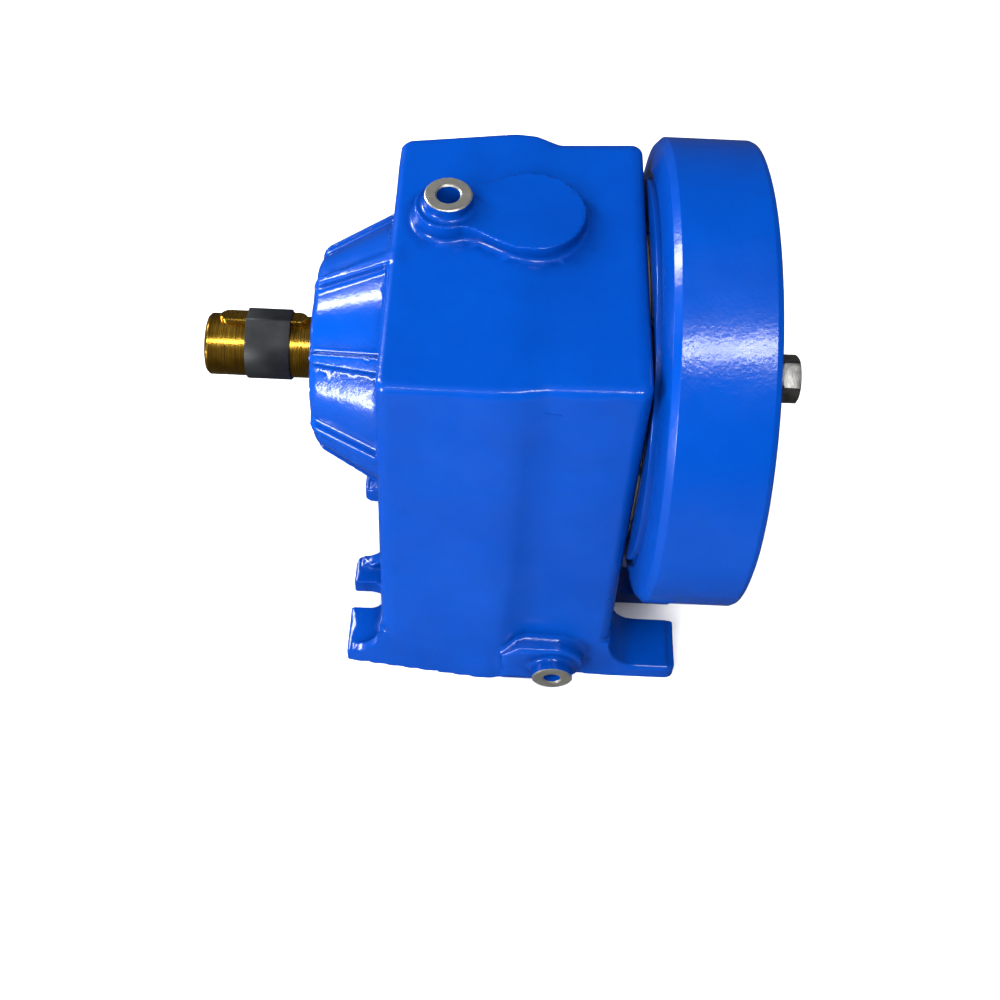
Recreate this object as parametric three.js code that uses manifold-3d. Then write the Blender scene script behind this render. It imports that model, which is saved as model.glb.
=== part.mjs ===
// Foot-mounted helical gear reducer: one cast housing, two gear stages, and a drum-like motor flange.
// Millimetres, +Z up. The output shaft points along -X, the motor flange faces +X.
// Pieces are drawn about the output axis, and the whole group is lifted onto its feet at the end.
import * as THREE from 'three';
import { mergeVertices } from 'three/addons/utils/BufferGeometryUtils.js';
import Module from 'manifold-3d';

const wasm = await Module();
wasm.setup();

// ---------------------------------------------------------------- driving dimensions

const GAP = 0.3; // clearance between touching pieces
const SHAFT_HEIGHT = 225; // foot plane to output axis
const OUTPUT_Z = 0;
const INPUT_Z = -7;
const LAYSHAFT_Z = -85;

const WALL_FRONT_X = -66; // housing wall that carries the nose
const HOUSING_REAR_X = 89; // machined joint face of the housing
const FLANGE_FRONT_X = 90.6; // machined joint face of the motor flange
const FLANGE_REAR_X = 158; // face that the motor seats on
const SHAFT_END_X = -185;
const BOLT_HEAD_END_X = 168.6;

const HOUSING = {
  topZ: 95,
  baseZ: -SHAFT_HEIGHT,
  halfWidthTop: 102,
  halfWidthBase: 111,
  frontDraft: 6, // how far the front wall leans out at the foot plane
  roofRise: 5, // how much higher the roof is at the flange than at the nose
  ridgeX: 2, // the long sides swell to a soft ridge here
  ridgeTop: 2,
  ridgeBase: 6,
  valleyX: 30, // and step in again behind it
  valleyStep: 3,
  cornerR: 11,
  edgeR: 7,
  wall: 10,
  floor: 12,
  rearWall: 14,
  hubR: 60, // inner collars behind the front wall that hold the bearings
  layshaftHubR: 34,
  hubEndX: -47,
};

const NOSE = {
  endX: -113,
  endR: 59.5, // of the panels between the ribs
  wallR: 85.5,
  edgeR: 6,
  ribs: 8,
  ribHeight: 4.6,
  ribHalfWidthEnd: 3.2,
  ribHalfWidthWall: 4.8,
  ribFlank: 3.5, // how much wider a rib is at its foot
};

const FOOT = {
  frontX: -97,
  rearX: 139,
  thickness: 14,
  nearY: 111, // outer edge, same on both sides
  farY: 29, // inner edge
  slotY: 62,
  slotWidth: 20,
  cornerR: 5,
  gussetThickness: 10,
  gussetHeight: 30,
  gussetReach: 24,
};

const FLANGE = {
  outerR: 150,
  groove: 5, // depth of the turned groove just outside the inner ring
  shoulderX: 97.5, // the front face is a shallow cone out to here
  shoulderR: 146,
  edgeX: 101.5,
  innerRingR: 123.5,
  spigotR: 115,
  spigotDepth: 5,
  boltHoleDepth: 30,
  bowlR: 121.5,
  rearLip: 16,
  webRearX: 106,
  hubR: 62,
  hubEndX: 136,
  throatR: 30.5, // clears the hollow input shaft
  boltCircleR: 132.5,
  boltAngle: 50.5,
};

const OPENING = { r: 84, topCentreZ: -6, lowCentreZ: -34 }; // the housing's rear opening
const GASKET_R = 96;
const PLATFORM_HEIGHT = 10.5; // raised face on the roof that joins the blank and the filler boss
const BLANK_BOSS = { x: 19, y: 28.7, r: 32.3 };
const FILLER = { x: -32, y: 31, ringR: 14.3, holeR: 7.3, height: 18.5, lobeR: 20.5 };
const DRAIN = { x: 50, z: -198, ringR: 13.8, holeR: 5.9, faceY: -129, padY: -120, bossR: 15.5 };
const DRAIN_PAD = { x: 14, lowZ: -220, shoulderZ: -186, shoulderX: 24, topZ: -175, endR: 21, endZ: -196 };

const SHAFT = { endR: 20, frontSeatR: 22.5, rearSeatR: 27.5, collarR: 32, gearR: 25, gearEndX: -5 };
const LAYSHAFT = { bearingR: 10, pinionR: 16, collarR: 20, gearR: 14, backR: 12.5 };
const INPUT = { frontX: 16, endX: 150, thinR: 12, innerR: 17.5, outerR: 27.5, boreR: 19, boreX: 76.5 };
const INPUT_KEYWAY = { startX: 78, half: 5, height: 22.3 };
const KEY = { width: 12, height: 8, depth: 5, startX: -176.5, endX: -120.5, tilt: 17 };
const GEAR_KEY = { startX: -43, endX: -13, width: 14, bottom: 19.5, top: 28.5 };
const LAYSHAFT_KEY = { startX: 17, endX: 37, width: 8, bottom: 10, top: 17 };
const BAND = { startX: -159, endX: -130.5, thickness: 1.3 };

// seals, spacer and spring rings: where each starts and ends, and its inner and outer radius
const RINGS = {
  output_oil_seal: { x0: -112.3, x1: -104.2, innerR: 22.5 + GAP, outerR: 36, z: OUTPUT_Z },
  output_shaft_spacer: { x0: -84.2, x1: -76.3, innerR: 22.5 + GAP, outerR: 26.5, z: OUTPUT_Z },
  output_gear_circlip: { x0: -10.2, x1: -8, innerR: 25 + GAP, outerR: 30, z: OUTPUT_Z },
  output_bore_circlip: { x0: -50.4, x1: -48, innerR: 46, outerR: 50, z: OUTPUT_Z },
  layshaft_circlip: { x0: 39.4, x1: 41, innerR: 14 + GAP, outerR: 18, z: LAYSHAFT_Z },
  input_bore_circlip: { x0: 121.4, x1: 123.6, innerR: 46, outerR: 50, z: INPUT_Z },
  input_oil_seal: { x0: 124.2, x1: 132.2, innerR: 27.5 + GAP, outerR: 50, z: INPUT_Z },
};

const HELIX_SLOPE = 0.23; // sideways travel of a tooth per millimetre of face width
const BACKLASH = 0.7;
const PRESSURE_SLOPE = Math.tan(THREE.MathUtils.degToRad(20));
const OUTPUT_PAIR = { module: 2.5, gearTeeth: 50, pinionTeeth: 18, centreX: -27.6, width: 34 };
const INPUT_PAIR = { module: 2, gearTeeth: 63, pinionTeeth: 15, centreX: 27, width: 24 };

// bearings: bore radius, outer radius, width, where each starts along its shaft, and its facets
const BEARINGS = {
  output_front_bearing: { z: OUTPUT_Z, boreR: 22.5, outerR: 42.5, width: 19, x: -103.5, sides: 24 },
  output_rear_bearing: { z: OUTPUT_Z, boreR: 27.5, outerR: 50, width: 21, x: -72, sides: 24 },
  layshaft_front_bearing: { z: LAYSHAFT_Z, boreR: 10, outerR: 26, width: 15, x: -61.7, sides: 16 },
  layshaft_rear_bearing: { z: LAYSHAFT_Z, boreR: 10, outerR: 26, width: 15, x: 53, sides: 16 },
  input_inner_bearing: { z: INPUT_Z, boreR: 17.5, outerR: 36, width: 17, x: 54, sides: 20 },
  input_outer_bearing: { z: INPUT_Z, boreR: 27.5, outerR: 50, width: 21, x: 100, sides: 24 },
};

// screws that hold the flange on the housing: [y, z]
const SCREW_SPOTS = [
  [38, 83], [-38, 83],
  [92, 12], [-92, 12],
  [92, -42], [-92, -42],
  [54, -107], [-54, -107],
];
const BOLT = { acrossCorners: 27.2, chamfer: 1.5, shankR: 8, shankLength: 15 };
const SCREW = { shankR: 4, headR: 6.5, headHeight: 8, tipX: 74 };

const FINE = 40; // sides of a large turned surface
const MEDIUM = 24;
const COARSE = 16;
const SMALL_HOLE = 8;

// ---------------------------------------------------------------- finishes

const FINISHES = {
  enamel: { color: 0x0a4fd0, roughness: 0.3, metalness: 0.1 },
  varnishedSteel: { color: 0xb98f1e, roughness: 0.28, metalness: 0.9 },
  darkSteel: { color: 0x3c3f42, roughness: 0.45, metalness: 0.8 },
  gearSteel: { color: 0x8d9093, roughness: 0.35, metalness: 0.9 },
  bearingSteel: { color: 0xc4c7ca, roughness: 0.2, metalness: 1 },
  blackPlastic: { color: 0x2a2b2e, roughness: 0.55, metalness: 0 },
  sealRubber: { color: 0x1b1b1c, roughness: 0.8, metalness: 0 },
  gasketPaper: { color: 0x6d6a58, roughness: 0.9, metalness: 0 },
};

// ---------------------------------------------------------------- geometry helpers

function signedVolume(position, index) {
  const a = new THREE.Vector3();
  const b = new THREE.Vector3();
  const c = new THREE.Vector3();
  let volume = 0;
  for (let i = 0; i < index.length; i += 3) {
    a.fromBufferAttribute(position, index[i]);
    b.fromBufferAttribute(position, index[i + 1]);
    c.fromBufferAttribute(position, index[i + 2]);
    volume += a.dot(b.cross(c)) / 6;
  }
  return volume;
}

// Merges shared vertices, drops collapsed triangles and turns the mesh outside out.
function cleaned(geometry) {
  const bare = geometry.clone();
  bare.deleteAttribute('normal');
  bare.deleteAttribute('uv');
  const merged = mergeVertices(bare, 1e-3);
  const kept = [];
  const old = merged.index.array;
  for (let i = 0; i < old.length; i += 3) {
    const [a, b, c] = [old[i], old[i + 1], old[i + 2]];
    if (a !== b && b !== c && c !== a) {
      kept.push(a, b, c);
    }
  }
  if (signedVolume(merged.getAttribute('position'), kept) < 0) {
    kept.reverse();
  }
  merged.setIndex(kept);
  return merged;
}

function solid(geometry) {
  const clean = cleaned(geometry);
  const vertProperties = new Float32Array(clean.getAttribute('position').array);
  const triVerts = new Uint32Array(clean.index.array);
  return new wasm.Manifold(new wasm.Mesh({ numProp: 3, vertProperties, triVerts }));
}

function geometryOf(manifold) {
  const mesh = manifold.getMesh();
  const geometry = new THREE.BufferGeometry();
  geometry.setAttribute('position', new THREE.BufferAttribute(new Float32Array(mesh.vertProperties), 3));
  geometry.setIndex(new THREE.BufferAttribute(new Uint32Array(mesh.triVerts), 1));
  return geometry;
}

const join = (base, ...others) => others.reduce((sum, other) => sum.add(other), base);
const cut = (base, ...others) => others.reduce((rest, other) => rest.subtract(other), base);

// A turned piece: profile is a list of [along, radius] about the named axis.
function turned(profile, sides, axis = 'x', centre = [0, 0, 0]) {
  const points = profile.map(([along, radius]) => new THREE.Vector2(radius, along));
  const geometry = new THREE.LatheGeometry(points, sides);
  if (axis === 'x') {
    geometry.rotateZ(-Math.PI / 2);
  }
  if (axis === 'z') {
    geometry.rotateX(Math.PI / 2);
  }
  return geometry.translate(...centre);
}

const rod = (start, end, radius, sides, axis, centre) =>
  turned([[start, 0], [start, radius], [end, radius], [end, 0]], sides, axis, centre);

const ring = (start, end, innerR, outerR, sides, axis, centre) => {
  const corners = [[start, innerR], [start, outerR], [end, outerR], [end, innerR], [start, innerR]];
  return turned(corners, sides, axis, centre);
};

function box(x0, x1, y0, y1, z0, z1) {
  const geometry = new THREE.BoxGeometry(x1 - x0, y1 - y0, z1 - z0);
  return geometry.translate((x0 + x1) / 2, (y0 + y1) / 2, (z0 + z1) / 2);
}

// Closed solid through rings of equally many points, each end closed by a fan about its centre.
function loft(rings) {
  const count = rings[0].length;
  const points = rings.flat();
  const index = [];
  for (let level = 0; level < rings.length - 1; level += 1) {
    for (let i = 0; i < count; i += 1) {
      const a = level * count + i;
      const b = level * count + ((i + 1) % count);
      index.push(a, b, b + count, a, b + count, a + count);
    }
  }
  const closeEnd = (first, flip) => {
    const centre = new THREE.Vector3();
    points.slice(first, first + count).forEach((point) => centre.addScaledVector(point, 1 / count));
    points.push(centre);
    const middle = points.length - 1;
    for (let i = 0; i < count; i += 1) {
      const a = first + i;
      const b = first + ((i + 1) % count);
      index.push(...(flip ? [b, a, middle] : [a, b, middle]));
    }
  };
  const lastFirst = (rings.length - 1) * count;
  closeEnd(0, true);
  closeEnd(lastFirst, false);
  const geometry = new THREE.BufferGeometry().setFromPoints(points);
  geometry.setIndex(index);
  return geometry;
}

// Outline of two half circles of radius r joined by straight sides, in the Y-Z plane.
function longHole(r, topZ, lowZ) {
  const shape = new THREE.Shape();
  shape.absarc(topZ, 0, r, -Math.PI / 2, Math.PI / 2, false);
  shape.absarc(lowZ, 0, r, Math.PI / 2, (3 * Math.PI) / 2, false);
  return shape;
}

// Extrudes a shape drawn with its own x as world Z and its own y as world Y, from x0 to x1.
function alongX(shape, x0, x1, curveSegments = 14) {
  const geometry = new THREE.ExtrudeGeometry(shape, { depth: x1 - x0, bevelEnabled: false, curveSegments });
  geometry.applyMatrix4(new THREE.Matrix4().set(0, 0, 1, x0, 0, 1, 0, 0, 1, 0, 0, 0, 0, 0, 0, 1));
  return geometry;
}

function roundedRectangle(x0, x1, y0, y1, r) {
  const shape = new THREE.Shape();
  shape.absarc(x1 - r, y1 - r, r, 0, Math.PI / 2, false);
  shape.absarc(x0 + r, y1 - r, r, Math.PI / 2, Math.PI, false);
  shape.absarc(x0 + r, y0 + r, r, Math.PI, 1.5 * Math.PI, false);
  shape.absarc(x1 - r, y0 + r, r, 1.5 * Math.PI, 2 * Math.PI, false);
  return shape;
}

function alongZ(shape, z0, z1, curveSegments = 4) {
  const geometry = new THREE.ExtrudeGeometry(shape, { depth: z1 - z0, bevelEnabled: false, curveSegments });
  return geometry.translate(0, 0, z0);
}

// ---------------------------------------------------------------- housing

// Plan outline of the housing at height z, drawn in by inset: a rounded rectangle whose long
// sides swell to a ridge.
function housingRing(z, inset, frontX, rearX) {
  const drop = (HOUSING.topZ - z) / (HOUSING.topZ - HOUSING.baseZ);
  const x0 = frontX - HOUSING.frontDraft * drop + inset;
  const x1 = rearX - inset;
  const halfWidth = THREE.MathUtils.lerp(HOUSING.halfWidthTop, HOUSING.halfWidthBase, drop) - inset;
  const ridge = THREE.MathUtils.lerp(HOUSING.ridgeTop, HOUSING.ridgeBase, drop);
  const middleX = (WALL_FRONT_X + HOUSING_REAR_X) / 2;
  const roofSlope = ((1 - drop) * HOUSING.roofRise) / (HOUSING_REAR_X - WALL_FRONT_X);
  const r = Math.max(HOUSING.cornerR - inset, 3);
  const points = [];
  const add = (x, y) => points.push(new THREE.Vector3(x, y, z + roofSlope * (x - middleX)));
  const corner = (cx, cy, from) => {
    for (let step = 0; step <= 4; step += 1) {
      const angle = from + (step * Math.PI) / 8;
      add(cx + r * Math.cos(angle), cy + r * Math.sin(angle));
    }
  };
  const valley = Math.max(ridge - HOUSING.valleyStep, 0);
  corner(x1 - r, halfWidth - r, 0);
  add(HOUSING.valleyX, halfWidth + valley);
  add(HOUSING.ridgeX, halfWidth + ridge);
  corner(x0 + r, halfWidth - r, Math.PI / 2);
  corner(x0 + r, r - halfWidth, Math.PI);
  add(HOUSING.ridgeX, -halfWidth - ridge);
  add(HOUSING.valleyX, -halfWidth - valley);
  corner(x1 - r, r - halfWidth, 1.5 * Math.PI);
  return points;
}

function housingBlock() {
  const rings = [housingRing(HOUSING.baseZ, 0, WALL_FRONT_X, HOUSING_REAR_X)];
  for (const angle of [0, 30, 60, 90]) {
    const turn = THREE.MathUtils.degToRad(angle);
    const z = HOUSING.topZ - HOUSING.edgeR * (1 - Math.sin(turn));
    const inset = HOUSING.edgeR * (1 - Math.cos(turn));
    rings.push(housingRing(z, inset, WALL_FRONT_X, HOUSING_REAR_X));
  }
  return loft(rings);
}

function housingCavity() {
  const floorZ = HOUSING.baseZ + HOUSING.floor;
  const ceilingZ = HOUSING.topZ - HOUSING.wall;
  const rearX = HOUSING_REAR_X - HOUSING.rearWall + HOUSING.wall;
  return loft([floorZ, ceilingZ].map((z) => housingRing(z, HOUSING.wall, WALL_FRONT_X, rearX)));
}

// One ring of the ribbed nose. Each rib has a flat crest and sloping flanks, and stands on a round panel.
function noseRing(x, inset) {
  const share = (x - NOSE.endX) / (WALL_FRONT_X - NOSE.endX);
  const panelR = THREE.MathUtils.lerp(NOSE.endR, NOSE.wallR, share) - inset;
  const half = THREE.MathUtils.lerp(NOSE.ribHalfWidthEnd, NOSE.ribHalfWidthWall, share);
  const crestR = panelR + NOSE.ribHeight;
  const crestTurn = half / crestR;
  const footTurn = (half + NOSE.ribFlank) / panelR;
  const pitch = (2 * Math.PI) / NOSE.ribs;
  const points = [];
  for (let rib = 0; rib < NOSE.ribs; rib += 1) {
    const corners = [
      [-footTurn, panelR], [-crestTurn, crestR], [crestTurn, crestR], [footTurn, panelR],
      [0.36 * pitch, panelR], [0.5 * pitch, panelR], [0.64 * pitch, panelR],
    ];
    for (const [turn, r] of corners) {
      const angle = rib * pitch + turn;
      points.push(new THREE.Vector3(x, r * Math.sin(angle), r * Math.cos(angle)));
    }
  }
  return points;
}

function nose() {
  const edge = NOSE.edgeR;
  return loft([
    noseRing(WALL_FRONT_X + 7, 0),
    noseRing(NOSE.endX + edge, 0),
    noseRing(NOSE.endX + 0.3 * edge, 0.3 * edge),
    noseRing(NOSE.endX, edge),
  ]);
}

// Gusset with a hollow curve, from wallX out to the foot in direction out (-1 or 1). The feet at the
// nose have a thin one at each edge, the feet at the flange one across their whole width.
function gusset(wallX, out, y0, y1) {
  const buried = 6;
  const top = FOOT.thickness + FOOT.gussetHeight;
  const tip = wallX + out * FOOT.gussetReach;
  const shape = new THREE.Shape();
  shape.moveTo(wallX - out * buried, FOOT.thickness - 2);
  shape.lineTo(wallX - out * buried, top);
  shape.lineTo(wallX, top);
  shape.quadraticCurveTo(wallX + out * 2, FOOT.thickness + 2, tip, FOOT.thickness);
  shape.lineTo(tip, FOOT.thickness - 2);
  shape.closePath();
  const options = { depth: y1 - y0, bevelEnabled: false, curveSegments: 6 };
  const geometry = new THREE.ExtrudeGeometry(shape, options);
  geometry.rotateX(Math.PI / 2);
  return geometry.translate(0, y1, HOUSING.baseZ);
}

// Both prongs of one foot with their gussets. end is -1 at the nose and 1 at the flange.
function foot(end, side) {
  const wallX = end < 0 ? WALL_FRONT_X - HOUSING.frontDraft : HOUSING_REAR_X;
  const tipX = end < 0 ? FOOT.frontX : FOOT.rearX;
  const buried = 14;
  const [x0, x1] = [Math.min(wallX - end * buried, tipX), Math.max(wallX - end * buried, tipX)];
  const [y0, y1] = side < 0 ? [-FOOT.nearY, -FOOT.farY] : [FOOT.farY, FOOT.nearY];
  const outline = roundedRectangle(x0, x1, y0, y1, FOOT.cornerR);
  const pad = solid(alongZ(outline, HOUSING.baseZ, HOUSING.baseZ + FOOT.thickness));
  if (end > 0) {
    return pad.add(solid(gusset(wallX, end, y0, y1)));
  }
  const outerY = side * (FOOT.nearY - FOOT.gussetThickness / 2);
  const innerY = side * (FOOT.farY + FOOT.gussetThickness / 2);
  const half = FOOT.gussetThickness / 2;
  const gussets = [outerY, innerY].map((y) => solid(gusset(wallX, end, y - half, y + half)));
  return join(pad, ...gussets);
}

function footSlot(end, side) {
  const halfSlot = FOOT.slotWidth / 2;
  const wallX = end < 0 ? WALL_FRONT_X - HOUSING.frontDraft : HOUSING_REAR_X;
  const tipX = end < 0 ? FOOT.frontX : FOOT.rearX;
  const rootX = wallX + end * (halfSlot + 1);
  const y = side * FOOT.slotY;
  const [z0, z1] = [HOUSING.baseZ - 1, HOUSING.baseZ + FOOT.thickness + FOOT.gussetHeight + 1];
  const [x0, x1] = [Math.min(rootX, tipX + end), Math.max(rootX, tipX + end)];
  const straight = solid(box(x0, x1, y - halfSlot, y + halfSlot, z0, z1));
  return straight.add(solid(rod(z0, z1, halfSlot, COARSE, 'z', [rootX, y, 0])));
}

// The raised face on the roof: a round blank and a smaller lobe under the filler, with a neck between.
function topBosses() {
  const { topZ } = HOUSING;
  const low = topZ - 6;
  const faceZ = topZ + PLATFORM_HEIGHT;
  const flare = 3;
  const mound = (spot, r) => {
    const profile = [
      [low, 0], [low, r + flare], [topZ + 1, r + flare], [topZ + 4, r + 0.6], [faceZ - 1, r], [faceZ, r - 1],
      [faceZ, 0],
    ];
    return solid(turned(profile, MEDIUM, 'z', [spot.x, spot.y, 0]));
  };
  const bossR = FILLER.ringR + 1;
  const fillerTop = topZ + FILLER.height;
  const fillerProfile = [
    [low, 0], [low, bossR + 1.5], [faceZ, bossR + 1.5], [faceZ + 1.5, bossR], [fillerTop - 1, bossR],
    [fillerTop, FILLER.ringR], [fillerTop, 0],
  ];
  const neckNearY = FILLER.y + 1 - FILLER.lobeR;
  const neckFarY = BLANK_BOSS.y + FILLER.lobeR;
  const neckEndX = BLANK_BOSS.x - BLANK_BOSS.r * 0.7;
  return join(
    mound(BLANK_BOSS, BLANK_BOSS.r),
    mound(FILLER, FILLER.lobeR),
    solid(box(FILLER.x, neckEndX, neckNearY, neckFarY, low, faceZ)),
    solid(turned(fillerProfile, MEDIUM, 'z', [FILLER.x, FILLER.y, 0])),
  );
}

function drainBoss() {
  const { x, z, ringR, faceY, padY, bossR } = DRAIN;
  const buriedY = -HOUSING.halfWidthTop;
  const pad = new THREE.Shape();
  pad.moveTo(DRAIN_PAD.x, DRAIN_PAD.lowZ);
  pad.lineTo(DRAIN_PAD.x, DRAIN_PAD.shoulderZ);
  pad.lineTo(DRAIN_PAD.shoulderX, DRAIN_PAD.topZ);
  pad.lineTo(x, DRAIN_PAD.topZ);
  pad.absarc(x, DRAIN_PAD.endZ, DRAIN_PAD.endR, Math.PI / 2, -Math.PI / 2, true);
  pad.lineTo(x, DRAIN_PAD.lowZ);
  pad.closePath();
  const options = { depth: buriedY - padY, bevelEnabled: false, curveSegments: 8 };
  const padGeometry = new THREE.ExtrudeGeometry(pad, options);
  padGeometry.rotateX(Math.PI / 2);
  padGeometry.translate(0, buriedY, 0);
  const bossProfile = [
    [buriedY, 0], [buriedY, bossR + 2], [padY, bossR + 2], [padY - 2, bossR],
    [faceY + 1.5, bossR], [faceY, ringR], [faceY, 0],
  ];
  return solid(padGeometry).add(solid(turned(bossProfile, MEDIUM, 'y', [x, 0, z])));
}

function housing() {
  const shell = cut(solid(housingBlock()), solid(housingCavity()));
  const innerFrontX = WALL_FRONT_X + HOUSING.wall - HOUSING.frontDraft;
  const hub = solid(rod(innerFrontX - 4, HOUSING.hubEndX, HOUSING.hubR, MEDIUM, 'x'));
  const layshaftSpot = [0, 0, LAYSHAFT_Z];
  const layBoss = rod(innerFrontX - 4, HOUSING.hubEndX, HOUSING.layshaftHubR, MEDIUM, 'x', layshaftSpot);
  const feet = [[-1, -1], [-1, 1], [1, -1], [1, 1]];
  const outside = join(
    shell,
    solid(nose()),
    hub,
    solid(layBoss),
    topBosses(),
    drainBoss(),
    ...feet.map(([end, side]) => foot(end, side)),
  );
  const front = BEARINGS.output_front_bearing;
  const rear = BEARINGS.output_rear_bearing;
  const lay = BEARINGS.layshaft_front_bearing;
  const sealR = RINGS.output_oil_seal.outerR + GAP;
  const insideX = HOUSING.hubEndX + 7;
  const noseBore = [
    [NOSE.endX - 1, 0], [NOSE.endX - 1, sealR], [front.x - GAP, sealR],
    [front.x - GAP, front.outerR + GAP], [rear.x - GAP, front.outerR + GAP],
    [rear.x - GAP, rear.outerR + GAP], [insideX, rear.outerR + GAP], [insideX, 0],
  ];
  const opening = longHole(OPENING.r, OPENING.topCentreZ, OPENING.lowCentreZ);
  const layPocket = rod(lay.x - GAP, insideX, lay.outerR + GAP, lay.sides, 'x', layshaftSpot);
  const screwHoles = SCREW_SPOTS.map(([y, z]) =>
    solid(rod(SCREW.tipX - 3, HOUSING_REAR_X + 1, SCREW.shankR + GAP, SMALL_HOLE, 'x', [0, y, z])));
  const fillerSpot = [FILLER.x, FILLER.y, 0];
  const fillerHole = rod(HOUSING.topZ - 20, HOUSING.topZ + 30, FILLER.holeR, COARSE, 'z', fillerSpot);
  const drainHole = rod(DRAIN.faceY - 1, -90, DRAIN.holeR, COARSE, 'y', [DRAIN.x, 0, DRAIN.z]);
  return geometryOf(cut(
    outside,
    solid(turned(noseBore, MEDIUM, 'x')),
    solid(alongX(opening, 60, HOUSING_REAR_X + 1)),
    solid(layPocket),
    solid(fillerHole),
    solid(drainHole),
    ...screwHoles,
    ...feet.map(([end, side]) => footSlot(end, side)),
  ));
}

// ---------------------------------------------------------------- motor flange

function boltSpots() {
  return [0, 1, 2, 3].map((quarter) => {
    const angle = THREE.MathUtils.degToRad(FLANGE.boltAngle + 90 * quarter);
    return [-FLANGE.boltCircleR * Math.cos(angle), INPUT_Z + FLANGE.boltCircleR * Math.sin(angle)];
  });
}

function motorFlange() {
  const f = FLANGE;
  const outer = BEARINGS.input_outer_bearing;
  const inner = BEARINGS.input_inner_bearing;
  const lay = BEARINGS.layshaft_rear_bearing;
  const { throatR } = f;
  const profile = [
    [FLANGE_FRONT_X, throatR - 2], [FLANGE_FRONT_X, f.innerRingR],
    [FLANGE_FRONT_X + f.groove, f.innerRingR], [FLANGE_FRONT_X + f.groove, f.innerRingR + 3],
    [FLANGE_FRONT_X + f.groove / 2, f.innerRingR + 4.5], [f.shoulderX, f.shoulderR], [f.edgeX, f.outerR],
    [FLANGE_REAR_X - 4, f.outerR], [FLANGE_REAR_X - 1.2, f.outerR - 1.2], [FLANGE_REAR_X, f.outerR - 4],
    [FLANGE_REAR_X, f.spigotR], [FLANGE_REAR_X - f.spigotDepth, f.spigotR],
    [FLANGE_REAR_X - f.spigotDepth, f.spigotR - 7], [FLANGE_REAR_X - f.rearLip, f.spigotR - 7],
    [FLANGE_REAR_X - f.rearLip, f.bowlR], [f.webRearX, f.bowlR], [f.webRearX, f.hubR],
    [f.hubEndX, f.hubR], [f.hubEndX, throatR - 2],
    [FLANGE_FRONT_X, throatR - 2],
  ];
  const body = solid(turned(profile, FINE, 'x', [0, 0, INPUT_Z]));
  const plugShape = longHole(OPENING.r - GAP, OPENING.topCentreZ, OPENING.lowCentreZ);
  const plug = solid(alongX(plugShape, FLANGE_FRONT_X - 8, FLANGE_FRONT_X + 2));
  const throat = solid(rod(0, outer.x, throatR, MEDIUM, 'x', [0, 0, INPUT_Z]));
  const bossFrontX = inner.x - 2;
  const inputSpot = [0, 0, INPUT_Z];
  const innerBoss = solid(rod(bossFrontX, FLANGE_FRONT_X, inner.outerR + 8, MEDIUM, 'x', inputSpot));
  const layBoss = solid(rod(bossFrontX, FLANGE_FRONT_X, lay.outerR + 4, MEDIUM, 'x', [0, 0, LAYSHAFT_Z]));
  const innerEndX = inner.x + inner.width + GAP;
  const innerSeat = solid(rod(0, innerEndX, inner.outerR + GAP, inner.sides, 'x', [0, 0, INPUT_Z]));
  const outerSeatR = outer.outerR + GAP;
  const outerSeat = solid(rod(outer.x - GAP, f.hubEndX + 1, outerSeatR, outer.sides, 'x', inputSpot));
  const layEndX = lay.x + lay.width + GAP;
  const laySeat = solid(rod(0, layEndX, lay.outerR + GAP, lay.sides, 'x', [0, 0, LAYSHAFT_Z]));
  const boltHoleX = FLANGE_REAR_X - f.boltHoleDepth;
  const boltHoles = boltSpots().map(([y, z]) =>
    solid(rod(boltHoleX, FLANGE_REAR_X + 1, BOLT.shankR + GAP, COARSE, 'x', [0, y, z])));
  const screwHoles = SCREW_SPOTS.map(([y, z]) =>
    solid(rod(FLANGE_FRONT_X - 1, f.webRearX + 1, SCREW.shankR + GAP, SMALL_HOLE, 'x', [0, y, z])));
  const whole = join(body, plug, innerBoss, layBoss);
  return geometryOf(cut(whole, throat, innerSeat, outerSeat, laySeat, ...boltHoles, ...screwHoles));
}

function gasket() {
  const shape = longHole(GASKET_R, OPENING.topCentreZ, OPENING.lowCentreZ);
  shape.holes.push(longHole(OPENING.r + 1, OPENING.topCentreZ, OPENING.lowCentreZ));
  const sheet = solid(alongX(shape, HOUSING_REAR_X + GAP, FLANGE_FRONT_X - GAP, 10));
  const holes = SCREW_SPOTS.map(([y, z]) =>
    solid(rod(HOUSING_REAR_X - 1, FLANGE_FRONT_X + 1, SCREW.shankR + GAP, SMALL_HOLE, 'x', [0, y, z])));
  return geometryOf(cut(sheet, ...holes));
}

// ---------------------------------------------------------------- gears

function toothWidthAt(pair, distance) {
  return (Math.PI * pair.module) / 2 - 2 * distance * PRESSURE_SLOPE - BACKLASH;
}

// Outline of a gear; offset turns it by that share of one tooth.
function gearOutline(pair, teeth, offset) {
  const pitchR = (teeth * pair.module) / 2;
  const tip = pair.module;
  const root = -1.25 * pair.module;
  const shape = new THREE.Shape();
  for (let tooth = 0; tooth < teeth; tooth += 1) {
    const centre = ((tooth + offset) / teeth) * 2 * Math.PI;
    for (const [distance, side] of [[root, -1], [tip, -1], [tip, 1], [root, 1]]) {
      const r = pitchR + distance;
      const angle = centre + (side * toothWidthAt(pair, distance)) / 2 / r;
      const place = [r * Math.cos(angle), r * Math.sin(angle)];
      if (tooth === 0 && side === -1 && distance === root) {
        shape.moveTo(...place);
      } else {
        shape.lineTo(...place);
      }
    }
  }
  return shape;
}

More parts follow.
